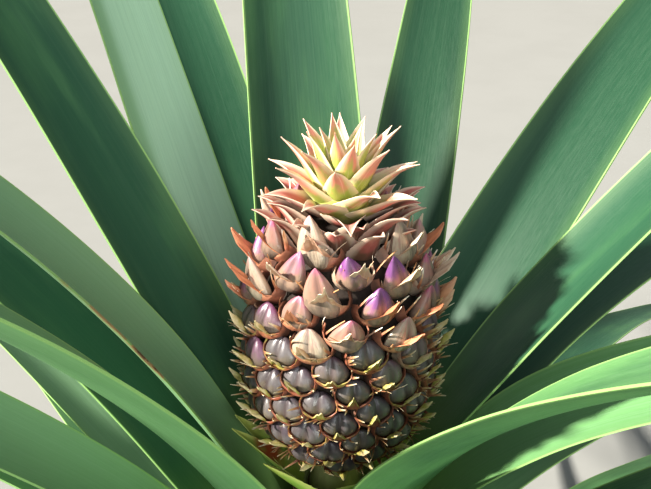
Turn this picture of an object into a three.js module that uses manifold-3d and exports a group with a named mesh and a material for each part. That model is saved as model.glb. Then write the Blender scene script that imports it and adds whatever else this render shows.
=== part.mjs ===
// A pineapple plant with a young fruit: a short stem, a rosette of strap leaves, a stalk, the fruit and
// its crown. Millimetres, +Z up, origin in the middle of the flat cut under the stem, at ground level; the
// front is -Y.
import * as THREE from "three";
import { mergeVertices } from "three/addons/utils/BufferGeometryUtils.js";
import Module from "manifold-3d";

const wasm = await Module();
wasm.setup();

const GAP = 0.3;
const GOLDEN_ANGLE = THREE.MathUtils.degToRad(137.5);
const UP = new THREE.Vector3(0, 0, 1);

// Stem, from the flat cut at the ground to the top that carries the fruit stalk
const STEM_TOP = 345;
const STEM_FOOT_RADIUS = 38;
const STEM_LOW_RADIUS = 33;
const STEM_LOW_HEIGHT = 45;
const STEM_TOP_RADIUS = 24;
const STEM_SIDES = 24;

// Stalk between the stem and the fruit, and the small leaves round the fruit's foot. They are longer on the
// side that has room for them, between two of the long leaves.
const STALK_TOP = 379;
const STALK_LOW_RADIUS = 15;
const STALK_HIGH_RADIUS = 12.5;
const COLLAR_HEIGHT = 7;
const COLLAR_RADIUS = 19;
const FOOT_BRACTS = 10;
const FOOT_BRACT_TURN = 0.7;
const FOOT_BRACT_LENGTH = 36;
const FOOT_BRACT_EXTRA = 22;
const FOOT_BRACT_ROOM_AZIMUTH = 3.75;
const FOOT_BRACT_WIDTH = 18;
const FOOT_BRACT_THICKNESS = 2;
const FOOT_BRACT_RISE = 0.3;
const FOOT_BRACT_LEAN = 48;
const FOOT_BRACT_TIP_LEAN = 52;

// Fruit: a barrel of eyes on the golden angle, the top rows still long buds
const FRUIT_TILT = THREE.MathUtils.degToRad(0.6);
const FRUIT_HEIGHT = 115;
const FRUIT_MAX_RADIUS = 43;
const FRUIT_FOOT_RADIUS = 24;
const FRUIT_NECK_RADIUS = 19;
const FRUIT_BELLY = 0.42;
const FRUIT_LOW_CURVE = 2.4;
const FRUIT_HIGH_CURVE = 2.6;
const EYES = 120;
const EYE_HEIGHT = 6;
const EYE_LIFT = 1;
const EYE_SHOULDER = 0.62;
const EYE_SHOULDER_HEIGHT = 4.3;
const BUD_ROWS_FROM = 0.74;
const BUD_ROWS_BLEND = 0.12;
const BUD_HEIGHT = 15;
const BUD_LIFT = 6;
const SKIN_SAMPLES = 400;

// Small blades round the foot of the fruit and in the crown
const BLADE_STEPS = 4;
const BLADE_CUP = 0.35;
const BLADE_TIP_SHARE = 0.06;

// Crown: a small rosette on top of the fruit
const CROWN_LEAFLETS = 32;
const CROWN_GAP = 0.7;
const CROWN_CORE_RADIUS = 15;
const CROWN_CORE_HEIGHT = 26;
const CROWN_LEAFLET_LENGTH = 36;
const CROWN_LEAFLET_WIDTH = 21;
const CROWN_LEAFLET_THICKNESS = 1.8;
const CROWN_OUTER_LEAN = 22;
const CROWN_OUTER_TIP_LEAN = 12;
const CROWN_INNER_LEAN = 72;
const CROWN_INNER_TIP_LEAN = 84;

// Leaves: 48 on one spiral, number 1 the youngest, highest and steepest
const LEAVES = 48;
const TOP_LEAF_HEIGHT = 335;
const TOP_LEAVES = 12;
const TOP_INTERNODE = 6;
const LOW_INTERNODE = 5.2;
const LEAF_LENGTH = 760;
const LEAF_WIDTH = 60;
const LEAF_WIDTH_STEP = 0.3;
const LEAF_BASE_SHARE = 0.66;
const LEAF_BASE_RUN = 120;
const LEAF_TAPER = 2.2;
const LEAF_TIP_WIDTH = 3;
const TOP_SHORTENING = 1;
const LOW_SHORTENING = 0.2;
const LEAF_RINGS = 13;
const RING_SPREAD = 1.25;
const PATH_STEPS = 120;

// How a leaf climbs and bends: lean above level, arch and drift over BEND_RUN of length, all in degrees
const BASE_LEAN = 73;
const BASE_LEAN_STEP = 0.6;
const BEND_RUN = 400;
const CLASP_FALL = 1.5;
const OPENS_FROM = 15;
const OPENS_OVER = 125;
const ROLL_RUN = 200;
const OPEN_LEAN = 46;
const OPEN_LEAN_STEP = 1.15;
const FRONT_AZIMUTH = 265;
const FRONT_LEAN_DROP = 12;
const OPEN_ARCH = 13;
const OPEN_CUP = 28;
const OPEN_CLASP = 60;

// Leaves in one sector stay under one another
const SECTOR = 45;
const SECTOR_RUN = 350;
const SECTOR_MARGIN = 2;

// Thickness of a leaf: its share on the upper side of the skin, and the height at which low leaves rest
const UPPER_SHARE = 0.3;
const MARGIN_THICKNESS = 1.2;
const BASE_THICKNESS = 3.4;
const THICKNESS_SHARE = 0.0102;
const SWELL_FROM = 0.06;
const SWELL_OVER = 0.2;
const THINS_FROM = 0.4;
const REST_HEIGHT = 14;
const REST_STEP = 1.6;
const REST_RUN = 150;

const materials = {
  leaf: new THREE.MeshStandardMaterial({ color: 0x5f8a5c, roughness: 0.5, metalness: 0 }),
  stem: new THREE.MeshStandardMaterial({ color: 0x8a7a55, roughness: 0.85, metalness: 0 }),
  stalk: new THREE.MeshStandardMaterial({ color: 0x8fa063, roughness: 0.7, metalness: 0 }),
  fruit: new THREE.MeshStandardMaterial({ color: 0x8c6f73, roughness: 0.6, metalness: 0 }),
  crown: new THREE.MeshStandardMaterial({ color: 0xcf8f86, roughness: 0.6, metalness: 0 }),
};

// Leaves whose place is known one by one; the rest follow the spiral. Clasp is the length over which a leaf
// leaves the steep lean of its base for its own.
const KNOWN_LEAVES = new Map([
  [0, { azimuth: -2, lean: 58, arch: 11, drift: -1, width: 60, cup: 29, roll: 2, clasp: 28 }],
  [1, { azimuth: 100, lean: 75, arch: 13, drift: 2, width: 64, cup: 28, roll: -4, clasp: 60 }],
  [2, { azimuth: 298, lean: 59, arch: 31, drift: -4, width: 61, cup: 28, roll: 6, clasp: 40 }],
  [3, { azimuth: 187.6, lean: 68.3, arch: 35.8, drift: 5.2, width: 56.8, cup: 27.4, roll: 0.6, clasp: 20 }],
  [4, { azimuth: 43, lean: 50, arch: 21, drift: 1, width: 64, cup: 28, roll: 9, clasp: 47 }],
  [5, { azimuth: 156.1, lean: 64.9, arch: 14.1, drift: -1.8, width: 57.1, cup: 30.1, roll: -5.3, clasp: 60.9 }],
  [6, { azimuth: 354, lean: 14, arch: 12, drift: 0, width: 64, cup: 31, roll: 8, clasp: 125 }],
  [7, { azimuth: 229.9, lean: 67.9, arch: 32.4, drift: 0.5, width: 61.1, cup: 27.9, roll: -3.4, clasp: 43.9 }],
  [8, { azimuth: 133.4, lean: 62.8, arch: 0.6, drift: -0.1, width: 56.6, cup: 29.7, roll: 10.8, clasp: 41 }],
  [9, { azimuth: 35, lean: 12, arch: 20, drift: 5, width: 64, cup: 29, roll: 4, clasp: 135 }],
  [10, { azimuth: 116, lean: 70, arch: 31, drift: 2, width: 62, cup: 29, roll: -1, clasp: 66 }],
  [11, { azimuth: 306, lean: 50, arch: 3, drift: 2, width: 60, cup: 28, roll: 4, clasp: 38 }],
  [12, { azimuth: 73, lean: 52, arch: 21, drift: 3, width: 60, cup: 29, roll: 1, clasp: 70 }],
  [13, { azimuth: 167.9, lean: 67.4, arch: 41.6, drift: -1.9, width: 56, cup: 29.3, roll: -16.4, clasp: 20 }],
  [14, { azimuth: 207, lean: 44.5, arch: 1.8, drift: -1.9, width: 61, cup: 28.4, roll: -7, clasp: 113.7 }],
]);

function smoothstep(value) {
  const t = THREE.MathUtils.clamp(value, 0, 1);
  return t * t * (3 - 2 * t);
}

function stemRadius(height) {
  if (height < STEM_LOW_HEIGHT) {
    return THREE.MathUtils.mapLinear(height, 0, STEM_LOW_HEIGHT, STEM_FOOT_RADIUS, STEM_LOW_RADIUS);
  }
  return THREE.MathUtils.mapLinear(height, STEM_LOW_HEIGHT, STEM_TOP, STEM_LOW_RADIUS, STEM_TOP_RADIUS);
}

// Solid of a closed mesh, for joining
function solid(geometry) {
  const bare = geometry.clone();
  bare.deleteAttribute("normal");
  bare.deleteAttribute("uv");
  const merged = mergeVertices(bare, 1e-4);
  return new wasm.Manifold(
    new wasm.Mesh({
      numProp: 3,
      vertProperties: merged.attributes.position.array,
      triVerts: new Uint32Array(merged.index.array),
    }),
  );
}

function geometryOf(manifold) {
  const mesh = manifold.getMesh();
  const geometry = new THREE.BufferGeometry();
  geometry.setAttribute("position", new THREE.BufferAttribute(mesh.vertProperties, 3));
  geometry.setIndex(new THREE.BufferAttribute(mesh.triVerts, 1));
  return geometry;
}

// Closed skin over a list of rings, each anticlockwise seen from the far end. A ring has an even number of
// points: its first half runs along one face and its second half back along the other, which closes the ends.
function skin(rings) {
  const positions = rings.flat().flatMap((point) => point.toArray());
  const size = rings[0].length;
  const last = (rings.length - 1) * size;
  const faces = [];
  for (let ring = 0; ring < rings.length - 1; ring++) {
    for (let side = 0; side < size; side++) {
      const next = (side + 1) % size;
      const a = ring * size + side;
      const b = ring * size + next;
      faces.push(a, b, b + size);
      faces.push(a, b + size, a + size);
    }
  }
  for (let low = 0; low < size / 2 - 1; low++) {
    const high = size - 1 - low;
    faces.push(low, high - 1, low + 1);
    faces.push(low, high, high - 1);
    faces.push(last + low, last + low + 1, last + high - 1);
    faces.push(last + low, last + high - 1, last + high);
  }
  const geometry = new THREE.BufferGeometry();
  geometry.setAttribute("position", new THREE.Float32BufferAttribute(positions, 3));
  geometry.setIndex(faces);
  return geometry;
}

// Difference between two azimuths in degrees, 0 to 180
function azimuthGap(first, second) {
  const turn = Math.abs(first - second) % 360;
  return Math.min(turn, 360 - turn);
}

// An older leaf stays under every younger one that it shares a sector with
function leanUnder(younger, azimuth, arch, wished) {
  let lean = wished;
  for (const leaf of younger) {
    const gap = azimuthGap(leaf.azimuth, azimuth);
    if (gap < SECTOR) {
      const shared = Math.min(SECTOR_RUN, LEAF_WIDTH / THREE.MathUtils.degToRad(Math.max(gap, 1)));
      const bend = Math.max(0, leaf.arch - arch) * (shared / BEND_RUN);
      lean = Math.min(lean, leaf.lean - bend - SECTOR_MARGIN);
    }
  }
  return lean;
}

function leafPlan() {
  const leaves = [];
  for (let rank = 0; rank < LEAVES; rank++) {
    const older = Math.max(0, rank - TOP_LEAVES);
    const height = TOP_LEAF_HEIGHT - TOP_INTERNODE * Math.min(rank, TOP_LEAVES) - LOW_INTERNODE * older;
    const shrink = rank < TOP_LEAVES ? TOP_SHORTENING : LOW_SHORTENING;
    const length = LEAF_LENGTH - shrink * (rank - TOP_LEAVES) ** 2;
    const baseLean = BASE_LEAN - BASE_LEAN_STEP * rank;
    const known = KNOWN_LEAVES.get(rank);
    if (known) {
      leaves.push({ rank, height, length, baseLean, ...known });
      continue;
    }
    const azimuth = THREE.MathUtils.radToDeg(rank * GOLDEN_ANGLE) % 360;
    const front = Math.max(0, Math.cos(THREE.MathUtils.degToRad(azimuth - FRONT_AZIMUTH)));
    const wished = OPEN_LEAN - OPEN_LEAN_STEP * older - FRONT_LEAN_DROP * front;
    const arch = OPEN_ARCH + 3 * Math.sin(5.1 * rank);
    const lean = leanUnder(leaves, azimuth, arch, wished);
    leaves.push({
      rank,
      height,
      length,
      baseLean,
      azimuth,
      lean,
      arch,
      drift: 3 * Math.sin(2.3 * rank),
      width: LEAF_WIDTH - LEAF_WIDTH_STEP * older,
      cup: OPEN_CUP,
      roll: 6 * Math.sin(3.7 * rank),
      clasp: OPEN_CLASP,
    });
  }
  return leaves;
}

// Spine of a leaf: distance from the axis, height, azimuth and lean at equal steps of length.
// A low leaf that comes down to its resting height runs out level above the ground.
function leafPath(leaf) {
  const step = leaf.length / PATH_STEPS;
  const path = [];
  const stem = stemRadius(leaf.height) + GAP;
  const quarterWrap = (LEAF_BASE_SHARE * leaf.width) / 4 / stem;
  let radius = stem / Math.cos(quarterWrap) + UPPER_SHARE * MARGIN_THICKNESS;
  let height = leaf.height;
  const rest = REST_HEIGHT + REST_STEP * (LEAVES - leaf.rank);
  for (let index = 0; index <= PATH_STEPS; index++) {
    const along = index * step;
    const steep = Math.exp(-((along / leaf.clasp) ** CLASP_FALL));
    const degrees = leaf.lean - (leaf.arch * along) / BEND_RUN + (leaf.baseLean - leaf.lean) * steep;
    const lean = Math.max(THREE.MathUtils.degToRad(degrees), Math.atan((rest - height) / REST_RUN));
    const azimuth = THREE.MathUtils.degToRad(leaf.azimuth + (leaf.drift * along) / BEND_RUN);
    path.push({ along, radius, height, azimuth, lean });
    radius += Math.cos(lean) * step;
    height += Math.sin(lean) * step;
  }
  return path;
}

function leafWidth(leaf, along) {
  const base = LEAF_BASE_SHARE + (1 - LEAF_BASE_SHARE) * smoothstep(along / LEAF_BASE_RUN);
  const taper = 1 - (along / leaf.length) ** LEAF_TAPER;
  return Math.max(LEAF_TIP_WIDTH, leaf.width * base * taper);
}

function leafThickness(leaf, along) {
  const share = along / leaf.length;
  const most = leaf.length * THICKNESS_SHARE;
  const swell = BASE_THICKNESS + (most - BASE_THICKNESS) * smoothstep((share - SWELL_FROM) / SWELL_OVER);
  const thins = smoothstep((share - THINS_FROM) / (1 - THINS_FROM));
  return MARGIN_THICKNESS + (swell - MARGIN_THICKNESS) * (1 - thins);
}

// Point of the blade across its width, with the direction of its upper face there. Near the stem the blade
// wraps round it; further out it opens to a shallow gutter of its own.
function leafPoint(leaf, spot, across) {
  const width = leafWidth(leaf, spot.along);
  const free = smoothstep((spot.along - OPENS_FROM) / OPENS_OVER);
  const wrap = spot.azimuth + (across * width) / 2 / spot.radius;
  const around = new THREE.Vector3(Math.cos(wrap), Math.sin(wrap), 0);
  const clasped = around.clone().multiplyScalar(spot.radius).addScaledVector(UP, spot.height);
  const claspedFace = around.multiplyScalar(-Math.sin(spot.lean)).addScaledVector(UP, Math.cos(spot.lean));

  const outward = new THREE.Vector3(Math.cos(spot.azimuth), Math.sin(spot.azimuth), 0);
  const sideways = new THREE.Vector3(-Math.sin(spot.azimuth), Math.cos(spot.azimuth), 0);
  const upper = outward.clone().multiplyScalar(-Math.sin(spot.lean)).addScaledVector(UP, Math.cos(spot.lean));
  const roll = THREE.MathUtils.degToRad(leaf.roll) * Math.min(1, spot.along / ROLL_RUN);
  const side = sideways.clone().multiplyScalar(Math.cos(roll)).addScaledVector(upper, Math.sin(roll));
  const face = upper.clone().multiplyScalar(Math.cos(roll)).addScaledVector(sideways, -Math.sin(roll));
  const cup = THREE.MathUtils.degToRad(leaf.cup);
  const bend = width / 2 / cup;
  const open = outward.multiplyScalar(spot.radius).addScaledVector(UP, spot.height);
  open.addScaledVector(side, bend * Math.sin(cup * across));
  open.addScaledVector(face, bend * (1 - Math.cos(cup * across)));
  const openFace = face.multiplyScalar(Math.cos(cup * across)).addScaledVector(side, -Math.sin(cup * across));
  return { point: clasped.lerp(open, free), face: claspedFace.lerp(openFace, free).normalize() };
}

function leafGeometry(leaf) {
  const path = leafPath(leaf);
  const rings = [];
  for (let ring = 0; ring <= LEAF_RINGS; ring++) {
    const share = (ring / LEAF_RINGS) ** RING_SPREAD;
    const spot = path[Math.round(share * PATH_STEPS)];
    const middle = leafThickness(leaf, spot.along);
    const section = [
      [-1, MARGIN_THICKNESS],
      [0, middle],
      [1, MARGIN_THICKNESS],
    ].map(([across, thickness]) => ({ ...leafPoint(leaf, spot, across), thickness }));
    const under = section.map(({ point, face, thickness }) => {
      return point.clone().addScaledVector(face, (UPPER_SHARE - 1) * thickness);
    });
    const upper = section.map(({ point, face, thickness }) => {
      return point.clone().addScaledVector(face, UPPER_SHARE * thickness);
    });
    rings.push([...under, ...upper.reverse()]);
  }
  return skin(rings);
}

function stemGeometry() {
  const profile = [
    new THREE.Vector2(0, 0),
    new THREE.Vector2(STEM_FOOT_RADIUS, 0),
    new THREE.Vector2(STEM_LOW_RADIUS, STEM_LOW_HEIGHT),
    new THREE.Vector2(STEM_TOP_RADIUS, STEM_TOP),
    new THREE.Vector2(0, STEM_TOP),
  ];
  return new THREE.LatheGeometry(profile, STEM_SIDES).rotateX(Math.PI / 2);
}

function stalkGeometry() {
  const profile = [
    new THREE.Vector2(0, STEM_TOP + GAP),
    new THREE.Vector2(STALK_LOW_RADIUS, STEM_TOP + GAP),
    new THREE.Vector2(STALK_HIGH_RADIUS, STALK_TOP),
    new THREE.Vector2(0, STALK_TOP),
  ];
  return new THREE.LatheGeometry(profile, STEM_SIDES).rotateX(Math.PI / 2);
}

// A small pointed blade that starts at a radius and height, climbs at one lean and opens to another
function bladeGeometry(shape) {
  const out = new THREE.Vector3(Math.cos(shape.azimuth), Math.sin(shape.azimuth), 0);
  const side = new THREE.Vector3(-Math.sin(shape.azimuth), Math.cos(shape.azimuth), 0);
  const spine = out.clone().multiplyScalar(shape.radius).addScaledVector(UP, shape.height);
  const rings = [];
  for (let ring = 0; ring <= BLADE_STEPS; ring++) {
    const share = ring / BLADE_STEPS;
    const lean = THREE.MathUtils.degToRad(shape.leanLow + (shape.leanTip - shape.leanLow) * share);
    const along = out.clone().multiplyScalar(Math.cos(lean)).addScaledVector(UP, Math.sin(lean));
    const face = out.clone().multiplyScalar(-Math.sin(lean)).addScaledVector(UP, Math.cos(lean));
    const half = (shape.width / 2) * Math.max(BLADE_TIP_SHARE, 1 - share ** 1.6);
    const thick = shape.thickness * (1 - 0.6 * share);
    const cup = half * BLADE_CUP;
    rings.push([
      spine.clone().addScaledVector(side, -half).addScaledVector(face, cup),
      spine.clone().addScaledVector(face, -thick * 0.5),
      spine.clone().addScaledVector(side, half).addScaledVector(face, cup),
      spine.clone().addScaledVector(face, thick * 0.5),
    ]);
    spine.addScaledVector(along, shape.length / BLADE_STEPS);
  }
  return skin(rings);
}

function footBractsGeometry() {
  const low = STEM_TOP + 2;
  const collarProfile = [
    new THREE.Vector2(STALK_LOW_RADIUS + GAP, low),
    new THREE.Vector2(COLLAR_RADIUS, low),
    new THREE.Vector2(COLLAR_RADIUS, low + COLLAR_HEIGHT),
    new THREE.Vector2(STALK_LOW_RADIUS + GAP, low + COLLAR_HEIGHT),
    new THREE.Vector2(STALK_LOW_RADIUS + GAP, low),
  ];
  let fused = solid(new THREE.LatheGeometry(collarProfile, STEM_SIDES).rotateX(Math.PI / 2));
  for (let bract = 0; bract < FOOT_BRACTS; bract++) {
    const azimuth = bract * GOLDEN_ANGLE + FOOT_BRACT_TURN;
    const room = Math.max(0, Math.cos(azimuth - FOOT_BRACT_ROOM_AZIMUTH));
    const blade = bladeGeometry({
      azimuth,
      radius: COLLAR_RADIUS - 2.5,
      height: low + 1 + FOOT_BRACT_RISE * bract,
      length: FOOT_BRACT_LENGTH + FOOT_BRACT_EXTRA * room,
      width: FOOT_BRACT_WIDTH,
      leanLow: FOOT_BRACT_LEAN,
      leanTip: FOOT_BRACT_TIP_LEAN,
      thickness: FOOT_BRACT_THICKNESS,
    });
    fused = fused.add(solid(blade));
  }
  return geometryOf(fused);
}

// Radius of the fruit's body at a share of its height, without the eyes
function fruitRadius(share) {
  if (share < FRUIT_BELLY) {
    const rise = 1 - ((FRUIT_BELLY - share) / FRUIT_BELLY) ** FRUIT_LOW_CURVE;
    return FRUIT_FOOT_RADIUS + (FRUIT_MAX_RADIUS - FRUIT_FOOT_RADIUS) * rise;
  }
  const fall = ((share - FRUIT_BELLY) / (1 - FRUIT_BELLY)) ** FRUIT_HIGH_CURVE;
  return FRUIT_MAX_RADIUS - (FRUIT_MAX_RADIUS - FRUIT_NECK_RADIUS) * fall;
}

// Place on the fruit's skin; past either end it runs in level towards the axis
function skinPlace(azimuth, share, depth) {
  const inside = THREE.MathUtils.clamp(share, 0, 1);
  const past = Math.abs(share - inside) * FRUIT_HEIGHT;
  const radius = Math.max(1, fruitRadius(inside) - past);
  const below = fruitRadius(Math.max(0, inside - 0.01));
  const above = fruitRadius(Math.min(1, inside + 0.01));
  const slope = Math.atan2(below - above, 0.02 * FRUIT_HEIGHT);
  const out = new THREE.Vector3(Math.cos(azimuth), Math.sin(azimuth), 0);
  const normal = out.clone().multiplyScalar(Math.cos(slope)).addScaledVector(UP, Math.sin(slope));
  const place = out.multiplyScalar(radius).addScaledVector(UP, inside * FRUIT_HEIGHT);
  return place.addScaledVector(normal, depth * Math.max(0, 1 - past / EYE_HEIGHT));
}

// Share of the height at which each eye sits, so that all have the same room; it runs on past both ends
function eyeShare(eye) {
  const inside = THREE.MathUtils.clamp(eye, 0, EYES - 1);
  if (inside !== eye) {
    const first = eyeShare(inside);
    const second = eyeShare(inside === 0 ? 1 : EYES - 2);
    return first + (first - second) * Math.abs(eye - inside);
  }
  const girth = (index) => fruitRadius((index + 0.5) / SKIN_SAMPLES);
  let whole = 0;
  for (let index = 0; index < SKIN_SAMPLES; index++) {
    whole += girth(index);
  }
  let left = ((eye + 0.5) / EYES) * whole;
  let index = 0;
  while (left > girth(index)) {
    left -= girth(index);
    index++;
  }
  return (index + left / girth(index)) / SKIN_SAMPLES;
}

// The eyes lie on a lattice: each touches the ones 8, 13 and 21 places before and after it on the spiral. An
// eye's six corners lie low, midway between it and two touching neighbours; its middle rises to a point.
const EYE_TRIADS = [
  [8, 21],
  [21, 13],
  [13, -8],
  [-8, -21],
  [-21, -13],
  [-13, 8],
];

function fruitGeometry() {
  const vertices = [];
  const faces = [];
  const corners = new Map();
  const turnOf = (places) => {
    const turn = places * GOLDEN_ANGLE;
    return turn - 2 * Math.PI * Math.round(turn / (2 * Math.PI));
  };
  const addVertex = (point) => vertices.push(point) - 1;
  const corner = (eye, pair) => {
    const key = [eye, eye + pair[0], eye + pair[1]].sort((a, b) => a - b).join();
    if (!corners.has(key)) {
      const azimuth = eye * GOLDEN_ANGLE + (turnOf(pair[0]) + turnOf(pair[1])) / 3;
      const share = (eyeShare(eye) + eyeShare(eye + pair[0]) + eyeShare(eye + pair[1])) / 3;
      corners.set(key, { azimuth, share, index: addVertex(skinPlace(azimuth, share, 0)) });
    }
    return corners.get(key);
  };
  for (let eye = 0; eye < EYES; eye++) {
    const share = eyeShare(eye);
    const azimuth = eye * GOLDEN_ANGLE;
    const bud = smoothstep((share - BUD_ROWS_FROM) / BUD_ROWS_BLEND);
    const height = EYE_HEIGHT + (BUD_HEIGHT - EYE_HEIGHT) * bud;
    const lift = (EYE_LIFT + (BUD_LIFT - EYE_LIFT) * bud) / FRUIT_HEIGHT;
    const tip = addVertex(skinPlace(azimuth, share + lift, height));
    const ring = EYE_TRIADS.map((pair) => {
      const low = corner(eye, pair);
      const turn = low.azimuth - azimuth;
      const near = turn - 2 * Math.PI * Math.round(turn / (2 * Math.PI));
      const shoulder = azimuth + near * EYE_SHOULDER;
      const level = share + (low.share - share) * EYE_SHOULDER + lift * 0.4;
      return { low: low.index, high: addVertex(skinPlace(shoulder, level, EYE_SHOULDER_HEIGHT)) };
    });
    ring.forEach((spot, side) => {
      const next = ring[(side + 1) % ring.length];
      faces.push(spot.low, next.low, next.high);
      faces.push(spot.low, next.high, spot.high);
      faces.push(spot.high, next.high, tip);
    });
  }
  closeEnds(vertices, faces);
  const geometry = new THREE.BufferGeometry();
  const positions = vertices.flatMap((point) => point.toArray());
  geometry.setAttribute("position", new THREE.Float32BufferAttribute(positions, 3));
  geometry.setIndex(faces);
  return geometry;
}

// Closes the two open ends of the fruit with flat fans round the axis
function closeEnds(vertices, faces) {
  const open = new Map();
  for (let face = 0; face < faces.length; face += 3) {
    for (let side = 0; side < 3; side++) {
      const from = faces[face + side];
      const to = faces[face + ((side + 1) % 3)];
      if (!open.delete(to + "," + from)) {
        open.set(from + "," + to, [from, to]);
      }
    }
  }
  const foot = vertices.push(new THREE.Vector3(0, 0, 0)) - 1;
  const top = vertices.push(new THREE.Vector3(0, 0, FRUIT_HEIGHT)) - 1;
  for (const [from, to] of open.values()) {
    faces.push(to, from, vertices[from].z < FRUIT_HEIGHT / 2 ? foot : top);
  }
}

function crownGeometry() {
  const profile = [
    new THREE.Vector2(0, 0),
    new THREE.Vector2(CROWN_CORE_RADIUS * 0.65, 0),
    new THREE.Vector2(CROWN_CORE_RADIUS, CROWN_CORE_HEIGHT * 0.35),
    new THREE.Vector2(CROWN_CORE_RADIUS * 0.6, CROWN_CORE_HEIGHT * 0.8),
    new THREE.Vector2(0, CROWN_CORE_HEIGHT),
  ];
  const parts = [solid(new THREE.LatheGeometry(profile, 16).rotateX(Math.PI / 2))];
  for (let leaflet = 0; leaflet < CROWN_LEAFLETS; leaflet++) {
    const share = leaflet / (CROWN_LEAFLETS - 1);
    const blade = bladeGeometry({
      azimuth: leaflet * GOLDEN_ANGLE,
      radius: CROWN_CORE_RADIUS * (0.75 - 0.5 * share),
      height: 2 + CROWN_CORE_HEIGHT * 0.7 * share,
      length: CROWN_LEAFLET_LENGTH * (0.7 + 0.3 * Math.sin(Math.PI * share)),
      width: CROWN_LEAFLET_WIDTH * (1 - 0.4 * share),
      leanLow: THREE.MathUtils.lerp(CROWN_OUTER_LEAN, CROWN_INNER_LEAN, share),
      leanTip: THREE.MathUtils.lerp(CROWN_OUTER_TIP_LEAN, CROWN_INNER_TIP_LEAN, share),
      thickness: CROWN_LEAFLET_THICKNESS,
    });
    parts.push(solid(blade));
  }
  return geometryOf(wasm.Manifold.union(parts));
}

function part(name, geometry, material) {
  const mesh = new THREE.Mesh(geometry, material);
  mesh.name = name;
  return mesh;
}

const plant = new THREE.Group();
plant.add(part("stem", stemGeometry(), materials.stem));
plant.add(part("fruit_stalk", stalkGeometry(), materials.stalk));
plant.add(part("foot_bracts", footBractsGeometry(), materials.leaf));

// The fruit and its crown lean together on the stalk
const head = new THREE.Group();
head.position.z = STALK_TOP + STALK_HIGH_RADIUS * Math.sin(FRUIT_TILT) + GAP;
head.rotation.y = FRUIT_TILT;
head.add(part("fruit", fruitGeometry(), materials.fruit));
const crown = part("crown", crownGeometry(), materials.crown);
crown.position.z = FRUIT_HEIGHT + CROWN_GAP;
head.add(crown);
plant.add(head);

leafPlan().forEach((leaf, rank) => {
  const name = "leaf_" + String(rank + 1).padStart(2, "0");
  plant.add(part(name, leafGeometry(leaf), materials.leaf));
});

export default plant;
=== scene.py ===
"""A pineapple plant in Blender: fine blades, fruitlets, crown, bracts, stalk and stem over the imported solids.

Shapes are worked out in millimetres by the same rules as the solids, and written in metres.
"""

import logging
import math
from dataclasses import dataclass, field
from enum import Enum

import bpy
import numpy as np
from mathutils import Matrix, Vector


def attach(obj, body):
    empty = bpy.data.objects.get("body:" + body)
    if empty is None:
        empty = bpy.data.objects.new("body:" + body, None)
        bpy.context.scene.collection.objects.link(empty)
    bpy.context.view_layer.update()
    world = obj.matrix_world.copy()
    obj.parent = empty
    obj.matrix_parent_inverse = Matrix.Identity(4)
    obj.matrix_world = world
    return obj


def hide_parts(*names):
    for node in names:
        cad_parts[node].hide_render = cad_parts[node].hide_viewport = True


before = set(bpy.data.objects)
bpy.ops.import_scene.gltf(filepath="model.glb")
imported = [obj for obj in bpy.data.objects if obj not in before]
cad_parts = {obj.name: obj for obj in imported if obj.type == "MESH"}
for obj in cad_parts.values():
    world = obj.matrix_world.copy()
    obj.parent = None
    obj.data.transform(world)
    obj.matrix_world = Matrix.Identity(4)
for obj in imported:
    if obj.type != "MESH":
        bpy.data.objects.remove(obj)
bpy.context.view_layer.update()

LOG = logging.getLogger("pineapple")
MM = 0.001
GOLDEN_ANGLE = math.radians(137.5)
UP = np.array([0.0, 0.0, 1.0])
SCATTER_STEP = 12.9898
SCATTER_START = 4.1414
SCATTER_SCALE = 43758.5453
PHASE_SPAN = 6.3
STEM_LOW_HEIGHT = 45.0
STEM_TOP = 345.0
STEM_RADII = (38, 33, 24)
Colour = tuple[float, float, float]
Piece = bpy.types.Object
Material = bpy.types.Material
Socket = bpy.types.NodeSocket
Value = Socket | float
Paint = Socket | Colour


def smoothstep(value: np.ndarray | float) -> np.ndarray:
    """Eases a value from 0 to 1 between 0 and 1."""
    t = np.clip(value, 0.0, 1.0)
    return t * t * (3 - 2 * t)


def wave(number: float, low: float = 0.0, high: float = 1.0) -> float:
    """A steady scatter between two values, the same on every run."""
    part = math.sin(number * SCATTER_STEP + SCATTER_START) * SCATTER_SCALE
    return low + (high - low) * (part - math.floor(part))


def stem_radius(height: float) -> float:
    """Radius of the stem, which narrows quickly at its foot and slowly above.

    Args:
        height: Height over the ground in millimetres.

    Returns:
        The radius in millimetres.
    """
    foot, low, top = STEM_RADII
    if height < STEM_LOW_HEIGHT:
        return foot + (low - foot) * height / STEM_LOW_HEIGHT
    return low + (top - low) * (height - STEM_LOW_HEIGHT) / (STEM_TOP - STEM_LOW_HEIGHT)


class NodeName(Enum):
    """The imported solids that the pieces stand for."""

    STEM = "stem"
    STALK = "fruit_stalk"
    FOOT_BRACTS = "foot_bracts"
    FRUIT = "fruit"
    CROWN = "crown"


class Slot(Enum):
    """The material slots of the record."""

    LEAF = "leaf"
    STEM = "stem"
    STALK = "stalk"
    FRUIT = "fruit"
    CROWN = "crown"


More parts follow.
